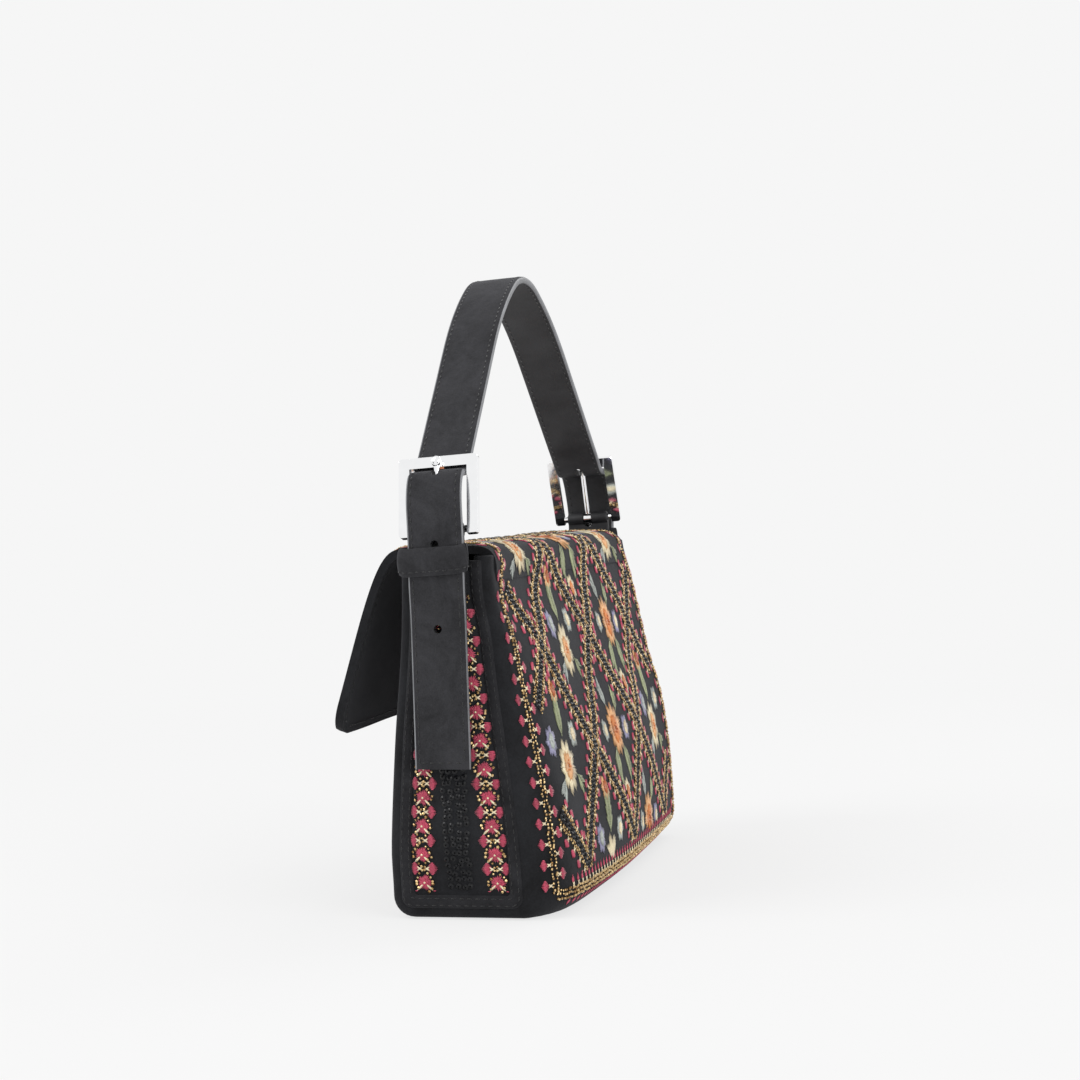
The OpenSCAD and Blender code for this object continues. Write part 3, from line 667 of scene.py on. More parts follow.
drop = bezier((0, 0), (-9, -3), (-3, -80 * 0.48), (0, -80.6), np.linspace(0, 1, 60))
drop = drop + FLAP_T / 2 * outward(drop)
drop = np.column_stack([
    drop[:, 0] * math.cos(STAND) + drop[:, 1] * math.sin(STAND) + SHOULDER[0],
    -drop[:, 0] * math.sin(STAND) + drop[:, 1] * math.cos(STAND) + SHOULDER[1]])
rise = np.column_stack([back_y(0.0, np.linspace(COVER_LOW, 144, 8)), np.linspace(COVER_LOW, 144, 8)])
over = bezier((rise[-1][0], 144), (19.7, 148.6), (17.6, 151.1), (12.5, 151.3), np.linspace(0, 1, 20))[1:]
crown = bezier((12.5, 151.3), (4, 151.9), (-10, 151.7), drop[0] + (0.05, 0.03), np.linspace(0, 1, 24))[1:]
cover_line = even(np.concatenate([rise, over, crown, drop[1:]]), 1.6)
for _ in range(3):
    cover_line[1:-1] = (cover_line[:-2] + 2 * cover_line[1:-1] + cover_line[2:]) / 4
cover_far = distances(cover_line)
COVER_LONG = float(cover_far[-1])
MIDDLE = int(np.argmin(np.abs(cover_line[:, 0] + 2.0) + (cover_line[:, 1] < 150) * 50))
cover_out = outward(cover_line)


def hem_half(left, inset=0.0):
    """Half the flap's width so far above its hem: its lower corners are round."""
    if left >= HEM_ROUND:
        return FLAP_HALF - inset
    return FLAP_HALF - HEM_ROUND + math.sqrt(max((HEM_ROUND - inset) ** 2 - (HEM_ROUND - left) ** 2, 0.0))


def cover_rows(deep_by):
    """Grid of the flap's outer face, or of a face that lies deeper, rows from the back down to the hem."""
    rows = []
    for k, (y, z) in enumerate(cover_line):
        left = COVER_LONG - cover_far[k]
        half = hem_half(left)
        across = np.sin(np.linspace(-1, 1, 49) * math.pi / 2 * 0.86) / math.sin(math.pi / 2 * 0.86)
        x = across * half
        thick = 0.85 + (FLAP_T - 0.85) * grow(cover_far[k], 8, 15)
        low_part = 1 - grow(cover_far[k], 2, 9)
        shift = (back_y(x, z) - back_y(0.0, z)) * low_part
        hanging = grow(cover_far[k], cover_far[MIDDLE] + 20, COVER_LONG)
        ripple = hanging * (0.9 * np.sin(x / 41 + 0.8) + 0.45 * np.sin(x / 19))
        ripple = ripple - 0.5 * (1 - np.abs(x) / half) * grow(cover_far[k], 12, 24) * (1 - hanging)
        # Padding swells between the stitched edges
        swell = 0.45 * grow(half - np.abs(x), 3.0, 9.0) * grow(left, 3.0, 9.0) * grow(cover_far[k], 10, 20)
        put = (swell if deep_by == 0 else 0) + ripple - deep_by * thick
        rows.append(np.column_stack([x, y + shift + cover_out[k, 0] * put, z + cover_out[k, 1] * put]))
    return np.array(rows)


lining_suede = suede("black_suede_lining", "#121314", "#242528", 34, 0.22)
cover_top, cover_under = cover_rows(0), cover_rows(1)
for name, span, bodies, start, end, gone in (
    ("flap_top_cover", slice(0, MIDDLE + 1), ("bag", "flap_top"), (0, 0.0215, 0.143), (0, 0.015, 0.151),
     ("flap_top_skin", "flap_top_lining")),
    ("flap_drop_cover", slice(MIDDLE, None), ("flap_top", "flap_drop"), (0, -0.017, 0.151), (0, -0.024, 0.146),
     ("flap_drop_skin", "flap_drop_stiffener", "flap_drop_lining")),
):
    piece = sheet_mesh(name, cover_top[span], cover_under[span], [body_suede, lining_suede], (0, 1, 0), 0.0)
    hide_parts(*gone)
    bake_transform(piece, *bodies, start=start, end=end)

# ---------------------------------------------------------------- handle strap
# One strap of suede over smooth leather, its cut edges painted grey. Each end comes down through a buckle from behind,
# bends out over the prong, passes the keeper and hangs free. It is sewn along both edges and round its ends.
STRAP_HALF, STRAP_T, STRAP_CROWN = 11.5, 3.0, 0.18
FACE = np.array([138.0, 156.3])
PIVOT = np.array([135.827, 158.003])
HANDLE_LEAN = math.radians(3.5)
KEEPER_TOP, KEEPER_TALL, TAIL_LOW = 152.0, 10.6, 62.0


def on_frame(s, o):
    """(x, z) on the buckle: s up its slope from the lower edge, o out from its face."""
    return np.array([FACE[0] - math.sin(TILT) * s + math.cos(TILT) * o,
                     FACE[1] + math.cos(TILT) * s + math.sin(TILT) * o])


turns = np.radians(np.arange(0, 24.5, 1.5))
tight = np.column_stack([55 * np.sin(turns), 214 + 55 * np.cos(turns)])
centre = np.array([0, 214]) - 115 * np.array([math.sin(math.radians(24)), math.cos(math.radians(24))])
turns = np.radians(np.arange(24.75, 42.6, 0.75))
wide_bend = centre + 170 * np.column_stack([np.sin(turns), np.cos(turns)])
run_end, knee = on_frame(34.3, -7.6), on_frame(26.6, 1.9)
under = bezier(run_end, on_frame(28.4, -5.8), on_frame(27.6, -1.6), knee, np.linspace(0, 1, 14))
bulge = bezier(knee, on_frame(25.4, 7.4), (144.4, 170), (143.1, 153), np.linspace(0, 1, 20))[1:]
tail = bezier((143.1, 139), (143.1, 130), (141.5, 128), (141.5, 116), np.linspace(0, 1, 10))
strap_line = np.concatenate([tight, wide_bend, under, bulge, [[143.1, 148]], tail, [[140.3, TAIL_LOW]]])
strap_line = even(strap_line, 1.3)
strap_line[1:-1] = (strap_line[:-2] + 2 * strap_line[1:-1] + strap_line[2:]) / 4
strap_in = outward(strap_line)
strap_far = distances(strap_line)


def leaned(points, share=None):
    """Points tipped about the buckle's pivot towards the flap, as the handle stands; the hanging end stays upright."""
    points = np.array(points, float)
    amount = HANDLE_LEAN * (grow(points[:, 2], 148, 172) if share is None else share)
    y, z = points[:, 1], points[:, 2] - PIVOT[1]
    c, s = np.cos(amount), np.sin(amount)
    return np.column_stack([points[:, 0], y * c - z * s, PIVOT[1] + y * s + z * c])


def strap_section():
    """Loop round the strap's cross-section: (across, in from the outer face, finish of the face that starts here)."""
    h, t, r = STRAP_HALF, STRAP_T, 0.75
    loop = [(y, -STRAP_CROWN * (1 - (y / h) ** 4), 0) for y in np.linspace(-h + r, h - r, 13)]
    loop += [(h - r * 0.3, r * 0.35, 1), (h, r, 1), (h, t - r, 1), (h - r * 0.3, t - r * 0.35, 1)]
    loop += [(y, t, 2) for y in np.linspace(h - r, r - h, 13)]
    loop += [(r * 0.3 - h, t - r * 0.35, 1), (-h, t - r, 1), (-h, r, 1), (r * 0.3 - h, r * 0.35, 1)]
    return loop


def calf(name, deep, pale, rough, grain):
    """Smooth calf, dyed through and finished matt: fine pebbles and creases, drawn about 0.9 mm across."""
    made, tree, out, place = material(name)
    pebbles = add(tree, "ShaderNodeTexVoronoi", {"Vector": place, "Scale": grain, "Randomness": 1.0},
                  feature="DISTANCE_TO_EDGE")
    clouds = noise(tree, place, 60, 4)
    level = add(tree, "ShaderNodeMapRange", {0: clouds, 1: 0.2, 2: 0.8, 3: rough, 4: rough + 0.12})
    surface(tree, out, {
        "Base Color": tones(tree, clouds, linear(deep), linear(pale), 0.3, 0.75),
        "Roughness": level.outputs[0], "Specular IOR Level": 0.4,
        "Normal": relief(tree, pebbles.outputs["Distance"], 0.25, 0.0003)})
    return made


strap_suede = suede("charcoal_suede", "#222224", "#38383b", 55, 0.26)
strap_calf = calf("charcoal_calf", "#242426", "#39393b", 0.5, 1100)
edge_paint = calf("grey_edge_paint", "#6a6b6e", "#8b8c90", 0.42, 700)


def cut(target, cutter):
    """Takes the cutter's shape out of the target for good."""
    boolean = target.modifiers.new("cut", "BOOLEAN")
    boolean.operation, boolean.object, boolean.solver = "DIFFERENCE", cutter, "EXACT"
    boolean.material_mode = "TRANSFER"
    whole = bpy.data.meshes.new_from_object(target.evaluated_get(bpy.context.evaluated_depsgraph_get()))
    whole.name = target.data.name
    target.modifiers.clear()
    target.data = whole
    bpy.data.objects.remove(cutter)


def rod(a, b, radius, finish):
    """A round bar between two points, used as a punch."""
    bm = bmesh.new()
    a, b = Vector(a) * 0.001, Vector(b) * 0.001
    turn = (b - a).to_track_quat("Z", "Y").to_matrix().to_4x4()
    bmesh.ops.create_cone(bm, cap_ends=True, segments=28, radius1=radius * 0.001, radius2=radius * 0.001,
                          depth=(b - a).length, matrix=Matrix.Translation((a + b) / 2) @ turn)
    return placed("punch", bm, finish)


def strap_half(label, sign):
    """Half the handle with its hanging end: the section swept along the line, its holes punched."""
    section = strap_section()
    n = len(section)
    rows = []
    for k, (x, z) in enumerate(strap_line):
        # The hanging end tapers in thickness a little at its cut
        left = strap_far[-1] - strap_far[k]
        thick = 1.0 - 0.25 * (1 - grow(left, 0, 6))
        points = [(sign * (x + strap_in[k, 0] * o * thick), y, z + strap_in[k, 1] * o * thick) for y, o, _ in section]
        rows.append(leaned(points))
    points = np.concatenate(rows)
    faces, marks = [], []
    for k in range(len(rows) - 1):
        for j in range(n):
            a, b = k * n + j, k * n + (j + 1) % n
            faces.append((a, b, b + n, a + n))
            marks.append(section[j][2])
    for k in (0, len(rows) - 1):
        faces.append(tuple(k * n + j for j in (range(n) if k else range(n - 1, -1, -1))))
        marks.append(1)
    made = solid(f"handle_strap_{label}", points, faces, [strap_suede, edge_paint, strap_calf], marks, 50)
    # Spare holes of the hanging end, and the slot that the prong comes through
    for z in (152.6, 118.6):
        cut(made, rod((sign * 130, 0, z), (sign * 150, 0, z), 1.7, strap_calf))
    for s in (25.6, 27.0, 28.4):
        a, b = on_frame(s, -10), on_frame(s, 8)
        a, b = leaned([(sign * a[0], 0, a[1]), (sign * b[0], 0, b[1])], 1.0)
        cut(made, rod(a, b, 1.85, strap_calf))
    smooth(made.data, 50)
    return made


SWING_START, SWING_END = 0.158, 0.172
straps = {}
for label, sign in BOTH_ENDS:
    straps[label] = strap_half(label, sign)
    if label == "right":
        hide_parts("strap_end_right", "handle_skin", "handle_lining")
    else:
        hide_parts("strap_end_left")
    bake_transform(straps[label], "bag", "handle", start=(sign * 0.142, 0, SWING_START), end=(sign * 0.142, 0, SWING_END))

# ---------------------------------------------------------------- keepers and chapes
# A keeper is a closed band of the strap's suede, sewn along its lower edge. A chape is a doubled strap of calf that is
# sewn to the gusset and turns round the buckle's bar, with a slot for the prong.


def boxed(x_out, x_in, half, radius, many=5):
    """Loop (x, y) of a rectangle with round corners."""
    loop = []
    for cx, cy, start in ((x_out - radius, half - radius, 0), (x_in + radius, half - radius, 90),
                          (x_in + radius, radius - half, 180), (x_out - radius, radius - half, 270)):
        for a in np.radians(np.linspace(start, start + 90, many)):
            loop.append((cx + radius * math.cos(a), cy + radius * math.sin(a)))
    return np.array(loop)


def keeper_points(sign, loop, z, flare):
    """The loop at a height, tipped 3 degrees as the real one sits, its front sagging between its corners."""
    tip = math.radians(3)
    x = loop[:, 0] + flare
    y = loop[:, 1] - 1.4
    sag = 1.7 * np.clip(1 - (loop[:, 1] / 15) ** 2, 0, 1) * np.clip((loop[:, 0] - 138) / 6, 0, 1)
    return np.column_stack([sign * x, y * math.cos(tip), z + y * math.sin(tip) - sag])


for label, sign in BOTH_ENDS:
    outer, inner = [], []
    for k, z in enumerate(np.linspace(KEEPER_TOP - KEEPER_TALL, KEEPER_TOP + 0.2, 9)):
        t = k / 8
        puff = 0.9 * max(math.sin(math.pi * t), 0) ** 0.7
        outer.append(keeper_points(sign, boxed(144.7 + puff, 138.2, 14.2 + 0.8 * puff, 4.2, 9), z, 0))
        inner.append(keeper_points(sign, boxed(143.5, 139.6, 13.0, 2.4, 9), z, 0))
    keeper = sheet_mesh(f"keeper_band_{label}", np.array(outer), np.array(inner), [strap_suede, strap_calf],
                        (0, 1, 0), 0.35, True)
    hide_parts(f"keeper_{label}")
    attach(keeper, "bag")

chape_calf = calf("black_calf", "#1a1a1c", "#2a2a2d", 0.5, 1100)


def chape(label, sign):
    """Profile of the folded strap, from its sewn foot up round the bar and down again, swept across its width."""
    ring_r = 3.1
    angle = np.radians(np.linspace(-62, 242, 25))
    loop = [(PIVOT[0] + ring_r * math.cos(a), PIVOT[1] + ring_r * math.sin(a)) for a in angle]
    outer_side = [(137.9, 121.5), (137.95, 132), (137.95, 146), (137.9, 153.6)]
    inner_side = [(134.3, 153.6), (134.2, 146), (133.4, 135), (132.6, 121.5)]
    outline = np.array(outer_side + loop + inner_side)
    across = [(-10.0, 0.5), (-9.6, 0.15), (-9.0, 0.0), (-4, 0.0), (0, 0.0), (4, 0.0), (9.0, 0.0), (9.6, 0.15),
              (10.0, 0.5)]
    middle = outline.mean(0)
    rows = []
    for y, shrink in across:
        pull = outline - middle
        size = np.linalg.norm(pull, axis=1)[:, None]
        line = outline - pull / size * shrink
        rows.append(leaned(np.column_stack([sign * line[:, 0], np.full(len(line), y), line[:, 1]]),
                           grow(line[:, 1], 140, 154)))
    n = len(outline)
    points = np.concatenate(rows)
    faces = [(k * n + j, k * n + (j + 1) % n, (k + 1) * n + (j + 1) % n, (k + 1) * n + j)
             for k in range(len(rows) - 1) for j in range(n)]
    faces += [tuple(range(n)), tuple(range(len(points) - 1, len(points) - n - 1, -1))]
    made = solid(f"chape_loop_{label}", points, faces, [chape_calf], sharp=45)
    a, b = leaned([(sign * PIVOT[0], -20, PIVOT[1]), (sign * PIVOT[0], 20, PIVOT[1])], 1.0)
    cut(made, rod(a, b, 1.75, chape_calf))
    for dz in (0.5, 2.0, 3.5, 5.0):
        a, b = leaned([(sign * (PIVOT[0] - 10), 0, PIVOT[1] + dz - 2.5),
                       (sign * (PIVOT[0] + 10), 0, PIVOT[1] + dz - 2.5)], 1.0)
        cut(made, rod(a, b, 2.2, chape_calf))
    smooth(made.data, 45)
    return made


for label, sign in BOTH_ENDS:
    loop = chape(label, sign)
    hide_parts(f"chape_{label}", f"chape_base_{label}")
    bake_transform(loop, "bag", "handle", start=(sign * 0.136, 0, 0.143), end=(sign * 0.136, 0, 0.154))

# ---------------------------------------------------------------- stitching
# Bonded black thread, two stitches to 7 mm, sunk a little in the nap: round the borders, the flap's edge, both edges
# of the straps and the keepers' lower edges.


def repeat_tree(name, faceted, ring_shape=False):
    """Puts one small shape at each point, along its own directions. Inputs: its length, width, height, finish."""
    tree = bpy.data.node_groups.new(name, "GeometryNodeTree")
    face = tree.interface
    face.new_socket("Geometry", in_out="INPUT", socket_type="NodeSocketGeometry")
    for label, value in (("Length", 0.003), ("Width", 0.0005), ("Height", 0.0005)):
        made = face.new_socket(label, in_out="INPUT", socket_type="NodeSocketFloat")
        made.default_value = value
    face.new_socket("Finish", in_out="INPUT", socket_type="NodeSocketMaterial")
    face.new_socket("Geometry", in_out="OUTPUT", socket_type="NodeSocketGeometry")
    given = add(tree, "NodeGroupInput")
    if ring_shape:
        cupped = {"Vertices": 9, "Radius Top": 0.16, "Radius Bottom": 0.5, "Depth": 0.5}
        shape = add(tree, "GeometryNodeMeshCone", cupped, fill_type="NONE")
    else:
        shape = add(tree, "GeometryNodeMeshIcoSphere", {"Radius": 0.5, "Subdivisions": 1})
    measures = enumerate(("Length", "Width", "Height"))
    size = add(tree, "ShaderNodeCombineXYZ", {k: given.outputs[label] for k, label in measures})
    sized = add(tree, "GeometryNodeTransform", {"Geometry": shape.outputs["Mesh"], "Scale": size.outputs[0]})
    shaded = add(tree, "GeometryNodeSetShadeSmooth", {0: sized.outputs[0], "Shade Smooth": not faceted})
    along, out_of, scale = (
        add(tree, "GeometryNodeInputNamedAttribute", {"Name": label}, data_type="FLOAT_VECTOR").outputs[0]
        for label in ("along", "out_of", "size"))
    first = add(tree, "FunctionNodeAlignRotationToVector", {"Vector": along}, axis="X")
    second = add(tree, "FunctionNodeAlignRotationToVector", {"Rotation": first.outputs[0], "Vector": out_of},
                 axis="Z", pivot_axis="X")
    put = add(tree, "GeometryNodeInstanceOnPoints", {
        "Points": given.outputs[0], "Instance": shaded.outputs[0],
        "Rotation": second.outputs[0], "Scale": scale})
    real = add(tree, "GeometryNodeRealizeInstances", {0: put.outputs[0]})
    dressed = add(tree, "GeometryNodeSetMaterial", {"Geometry": real.outputs[0], "Material": given.outputs["Finish"]})
    end = add(tree, "NodeGroupOutput")
    tree.links.new(dressed.outputs[0], end.inputs[0])
    return tree


def repeat(name, tree, places, along, out_of, size, finish, length, width, height):
    """The tree's shape at each place, in mm, made one plain mesh."""
    places = np.asarray(places, float)
    mesh = bpy.data.meshes.new(name + "_points")
    mesh.from_pydata([tuple(p) for p in places * 0.001], [], [])
    for label, values in (("along", along), ("out_of", out_of), ("size", size)):
        given = mesh.attributes.new(label, "FLOAT_VECTOR", "POINT")
        given.data.foreach_set("vector", np.asarray(values, np.float32).ravel())
    source = bpy.data.objects.new(name + "_points", mesh)
    scene.collection.objects.link(source)
    modifier = source.modifiers.new("repeat", "NODES")
    modifier.node_group = tree
    sockets = {s.name: s.identifier for s in tree.interface.items_tree if s.in_out == "INPUT"}
    for label, value in (("Length", length), ("Width", width), ("Height", height)):
        modifier[sockets[label]] = value * 0.001
    modifier[sockets["Finish"]] = finish
    made = bpy.data.meshes.new_from_object(source.evaluated_get(bpy.context.evaluated_depsgraph_get()))
    made.name = name
    for spare in list(made.attributes):
        if spare.name in ("along", "out_of", "size"):
            made.attributes.remove(spare)
    piece = bpy.data.objects.new(name, made)
    scene.collection.objects.link(piece)
    bpy.data.objects.remove(source)
    return piece


def thread(name, code):
    """Mercerised cotton or bonded thread: twisted, so its shine is broken up every 0.4 mm."""
    made, tree, out, place = material(name)
    twist = noise(tree, place, 1500, 2)
    mixed = weighed(tree, twist, 0.5, noise(tree, place, 130, 2))
    base = linear(code)[:3]
    # The colour runs from a shaded tone to a lit one along the twist and in larger patches: painted shade in the
    # grooves and painted highlight on the crests, not the dye.
    shaded, lit = tuple(c * 0.62 for c in base) + (1,), tuple(min(1, c * 1.25) for c in base) + (1,)
    surface(tree, out, {
        "Base Color": tones(tree, mixed, shaded, lit, 0.45), "Roughness": 0.5, "Specular IOR Level": 0.4,
        "Sheen Weight": 0.2, "Normal": relief(tree, twist, 0.4, 0.0001)})
    return made


sewing = thread("black_bonded_thread", "#101012")
stitch_tree = repeat_tree("sewn_stitch", False)


def seam(points, out_dirs, pitch=3.4):
    """Stitch centres, directions and outward directions along a line in mm."""
    points, out_dirs = np.asarray(points, float), np.asarray(out_dirs, float)
    far = distances(points)
    at = np.arange(pitch / 2, far[-1], pitch)
    place = sampled(at, far, points)
    ahead = sampled(at + 0.6, far, points)
    before = sampled(at - 0.6, far, points)
    return place, ahead - before, sampled(at, far, out_dirs)


def sew(name, lines, pitch=3.4, length=2.4, width=0.5, height=0.34):
    """Stitches along lines, as one piece."""
    parts = [seam(*line, pitch) for line in lines]
    places, along, outs = (np.concatenate([p[k] for p in parts]) for k in range(3))
    return repeat(name, stitch_tree, places, along, outs, np.ones((len(places), 3)), sewing, length, width, height)


lines = []
for sign in (1, -1):
    for w, x in ((5.6, 131.05), (8.4, 131.0)):
        line = ring(sign * HALF, w, TALL - 1.5, TALL - 2.2, back=back_out)
        lines.append((at_x(sign * x, line), np.tile((sign, 0, 0), (len(line), 1))))
    edge = end_panel(sign, 0.0)[-2, 2:-2]
    lines.append((edge + (sign * 0.05, 0, -0.6), np.tile((sign, 0, 0), (len(edge), 1))))
borders_sewn = sew("border_stitches", lines)
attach(borders_sewn, "bag")

# How far in from its sides and hem the flap is sewn, in mm
STITCH_IN = 3.3

for label, rows, turn in (("outer", cover_top, 1), ("inner", cover_under, -1)):
    columns = rows.shape[1]
    normals = np.cross(np.gradient(rows, axis=1), np.gradient(rows, axis=0))
    normals /= np.linalg.norm(normals, axis=2)[:, :, None]
    if normals[MIDDLE, columns // 2, 2] < 0:
        normals = -normals

    def inset(i, x):
        """Place and direction out, on row i at x."""
        return [np.array([np.interp(x, rows[i, :, 0], grid[i, :, k]) for k in range(3)]) for grid in (rows, normals)]

    for name, span in (("top", range(6, MIDDLE + 1)), ("drop", range(MIDDLE, len(cover_line)))):
        lines = []
        for sign in (-1, 1):
            points, outs = [], []
            for i in span:
                left = COVER_LONG - cover_far[i]
                if left < STITCH_IN:
                    break
                p, n = inset(i, sign * hem_half(left, STITCH_IN))
                points.append(p + n * turn * 0.05)
                outs.append(n * turn)
            lines.append((points, outs))
        if name == "drop":
            i = int(np.argmin(np.abs(COVER_LONG - cover_far - STITCH_IN)))
            xs = np.linspace(-FLAP_HALF + HEM_ROUND, FLAP_HALF - HEM_ROUND, 60)
            pairs = [inset(i, x) for x in xs]
            lines.append(([p + n * turn * 0.05 for p, n in pairs], [n * turn for _, n in pairs]))
        made = sew(f"flap_{name}_stitches_{label}", lines)
        if name == "top":
            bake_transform(made, "bag", "flap_top", start=(0, 0.0215, 0.143), end=(0, 0.015, 0.151))
        else:
            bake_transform(made, "flap_top", "flap_drop", start=(0, -0.017, 0.151), end=(0, -0.024, 0.146))

for label, sign in BOTH_ENDS:
    lines = []
    usable = strap_far < strap_far[-1] - 2.4
    for face, out_by in ((-0.12, 1), (STRAP_T + 0.02, -1)):
        for y in (-STRAP_HALF + 2.1, STRAP_HALF - 2.1):
            x = sign * (strap_line[usable, 0] + strap_in[usable, 0] * face)
            z = strap_line[usable, 1] + strap_in[usable, 1] * face
            outs = np.column_stack([-sign * strap_in[usable, 0] * out_by, np.zeros(usable.sum()),
                                    -strap_in[usable, 1] * out_by])
            lines.append((leaned(np.column_stack([x, np.full(len(x), y), z])), outs))
    last = int(np.nonzero(usable)[0][-1])
    y = np.linspace(-STRAP_HALF + 2.1, STRAP_HALF - 2.1, 9)
    x = sign * (strap_line[last, 0] + strap_in[last, 0] * -0.12)
    lines.append((leaned(np.column_stack([np.full(9, x), y, np.full(9, strap_line[last, 1])])),
                  np.tile((sign, 0, 0), (9, 1))))
    made = sew(f"strap_stitches_{label}", lines, 3.6, 2.6, 0.7, 0.42)
    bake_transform(made, "bag", "handle", start=(sign * 0.142, 0, SWING_START), end=(sign * 0.142, 0, SWING_END))
    band = boxed(145.23, 138.2, 14.63, 4.2, 9)
    band = np.concatenate([band[23:], band[:13]])
    points = keeper_points(sign, band, KEEPER_TOP - KEEPER_TALL + 1.5, 0.14)
    outs = np.gradient(points, axis=0)
    outs = np.column_stack([sign * outs[:, 1], -sign * outs[:, 0], np.zeros(len(outs))])
    centre_of = points.mean(0)
    outs *= np.sign((outs * (points - centre_of)).sum(1))[:, None]
    made = sew(f"keeper_stitches_{label}", [(points, outs)], 2.8, 2.0, 0.6, 0.45)
    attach(made, "bag")

# ---------------------------------------------------------------- embroidery
# Sewn by hand before the panels were put together: gold glass beads, black sequins and satin stitch in stranded cotton.
# A plain design of its own: a diagonal lattice of bead and sequin bands edged with lozenges, round flowers and leaf
# sprays in its cells, and a straight border of beads and small lozenges.
chance = np.random.RandomState(11)
# The lattice, in mm but for its slope: how far apart its bands start, the slope, the room a band takes on each side
CELL, LEAN, BAND_HALF = 90.0, 1.02, 10.0
# How far the work reaches to each side of the middle, its lowest row and a sequin's width, in mm
HALF_WORK, LOW_WORK, SEQUIN = 116.0, 17.0, 2.7


class Panel:
    """A face that is sewn on: maps flat positions in mm to places on it, with the directions across, up and out."""

    def __init__(self, u, v, grid, turned=1):
        self.u, self.v, self.grid, self.turned = np.asarray(u, float), np.asarray(v, float), grid, turned

    def at(self, u, v):
        """Points on the face, read between those of its grid."""
        i = np.clip(np.searchsorted(self.v, v) - 1, 0, len(self.v) - 2)
        j = np.clip(np.searchsorted(self.u, u) - 1, 0, len(self.u) - 2)
        fv = np.clip((v - self.v[i]) / (self.v[i + 1] - self.v[i]), 0, 1)[:, None]
        fu = np.clip((u - self.u[j]) / (self.u[j + 1] - self.u[j]), 0, 1)[:, None]
        g = self.grid
        a, b, c, d = g[i, j], g[i, j + 1], g[i + 1, j], g[i + 1, j + 1]
        return (a * (1 - fu) + b * fu) * (1 - fv) + (c * (1 - fu) + d * fu) * fv

    def place(self, u, v, angle, lift):
        """Points a lift off the face, with the directions along and out of it."""
        u, v, angle = (np.asarray(k, float) for k in (u, v, angle))
        p = self.at(u, v)
        across = self.at(u + 0.5, v) - self.at(u - 0.5, v)
        upward = self.at(u, v + 0.5) - self.at(u, v - 0.5)
        across /= np.maximum(np.linalg.norm(across, axis=1), 1e-6)[:, None]
        upward /= np.maximum(np.linalg.norm(upward, axis=1), 1e-6)[:, None]
        out_of = np.cross(across, upward) * self.turned
        out_of /= np.linalg.norm(out_of, axis=1)[:, None]
        along = across * np.cos(angle)[:, None] + upward * np.sin(angle)[:, None]
        return p + out_of * np.asarray(lift)[:, None], along, out_of


us = np.linspace(-129, 129, 105)
end_roll = np.interp(np.abs(us), [e[0] for e in ends[:4]], [e[1] for e in ends[:4]])
vs = np.linspace(2.5, COVER_LOW, 47)
back_grid = np.array([
    np.column_stack([us, back_out(us, np.maximum(z, roll_size(us))) - drawn_in(us, z) - end_roll,
                     np.full(len(us), z)]) for z in vs])
cover_grid = np.array([sampled(us, row[:, 0], row) for row in cover_top])
whole_v = np.concatenate([vs[:-1], COVER_LOW + cover_far])
cover_panel = Panel(us, whole_v, np.concatenate([back_grid[:-1], cover_grid]), -1)
front_vs = np.linspace(5, 143, 45)
front_grid = np.array([np.column_stack([us, -front_y(us, np.maximum(z, ROUND)), np.full(len(us), z)])
                       for z in front_vs])
for i, z in enumerate(front_vs):
    if z < ROUND:
        front_grid[i, :, 1] += ROUND - math.sqrt(ROUND ** 2 - (ROUND - z) ** 2)
front_panel = Panel(us, front_vs, front_grid, 1)
end_panels = {}
for label, sign in BOTH_ENDS:
    rows = end_panel(sign, 0.0)
    ys = np.linspace(-20, 34, 55)
    grid = np.array([np.column_stack([np.interp(ys, row[:, 1], row[:, 0]), ys, np.full(len(ys), row[0, 2])])
                     for row in rows])
    end_panels[label] = Panel(ys, rows[:, 0, 2], grid, sign)

work = []


def sewn(u, v, angle, length, width, height, lift, colour):
    """One bead, sequin or thread at a flat place: its direction, its size and how far it stands off, in mm."""
    work.append((u, v, angle, length, width, height, lift, colour))


def bead_line(u0, v0, u1, v1, shift, step):
    """Gold beads a step apart, sewn a little unevenly, shifted square to the line."""
    long = math.hypot(u1 - u0, v1 - v0)
    n = max(2, int(long / step))
    t = (np.arange(n) + 0.5) / n
    sx, sy = -(v1 - v0) / long * shift, (u1 - u0) / long * shift
    for a in t:
        du, dv = chance.uniform(-0.38, 0.38, 2)
        size = chance.uniform(0.95, 1.5)
        sewn(u0 + (u1 - u0) * a + sx + du, v0 + (v1 - v0) * a + sy + dv, chance.uniform(0, 3), size, size,
             size * 0.85, 0.45, "gold")


def sequin_line(u0, v0, u1, v1):
    """Sequins edge to edge, every other one a little higher."""
    long = math.hypot(u1 - u0, v1 - v0)
    n = max(2, int(long / SEQUIN))
    for k in range(n):
        a = (k + 0.5) / n
        sewn(u0 + (u1 - u0) * a, v0 + (v1 - v0) * a, chance.uniform(0, 3), SEQUIN, SEQUIN, 1.0, 0.4 + 0.25 * (k % 2),
             "sequin")


def lozenge(u, v, angle, long, wide, colour="crimson", trim="ivory"):
    """Satin lozenge: threads side by side, longest in the middle, and a pale thread along two sides."""
    n = max(3, int(wide / 0.5))
    for k in range(n):
        t = (k + 0.5) / n * 2 - 1
        reach = long * (1 - abs(t)) ** 0.75 + 0.5
        sewn(u - math.sin(angle) * t * wide / 2, v + math.cos(angle) * t * wide / 2,
             angle + chance.uniform(-.06, .06), reach, 0.55, 0.5, 0.2, colour)
    if trim:
        for turn in (0.6, -0.6):
            a = angle + turn
            sewn(u - math.cos(angle) * long * 0.42, v - math.sin(angle) * long * 0.42, a, long * 0.66, 0.75, 0.5,
                 0.42, trim)


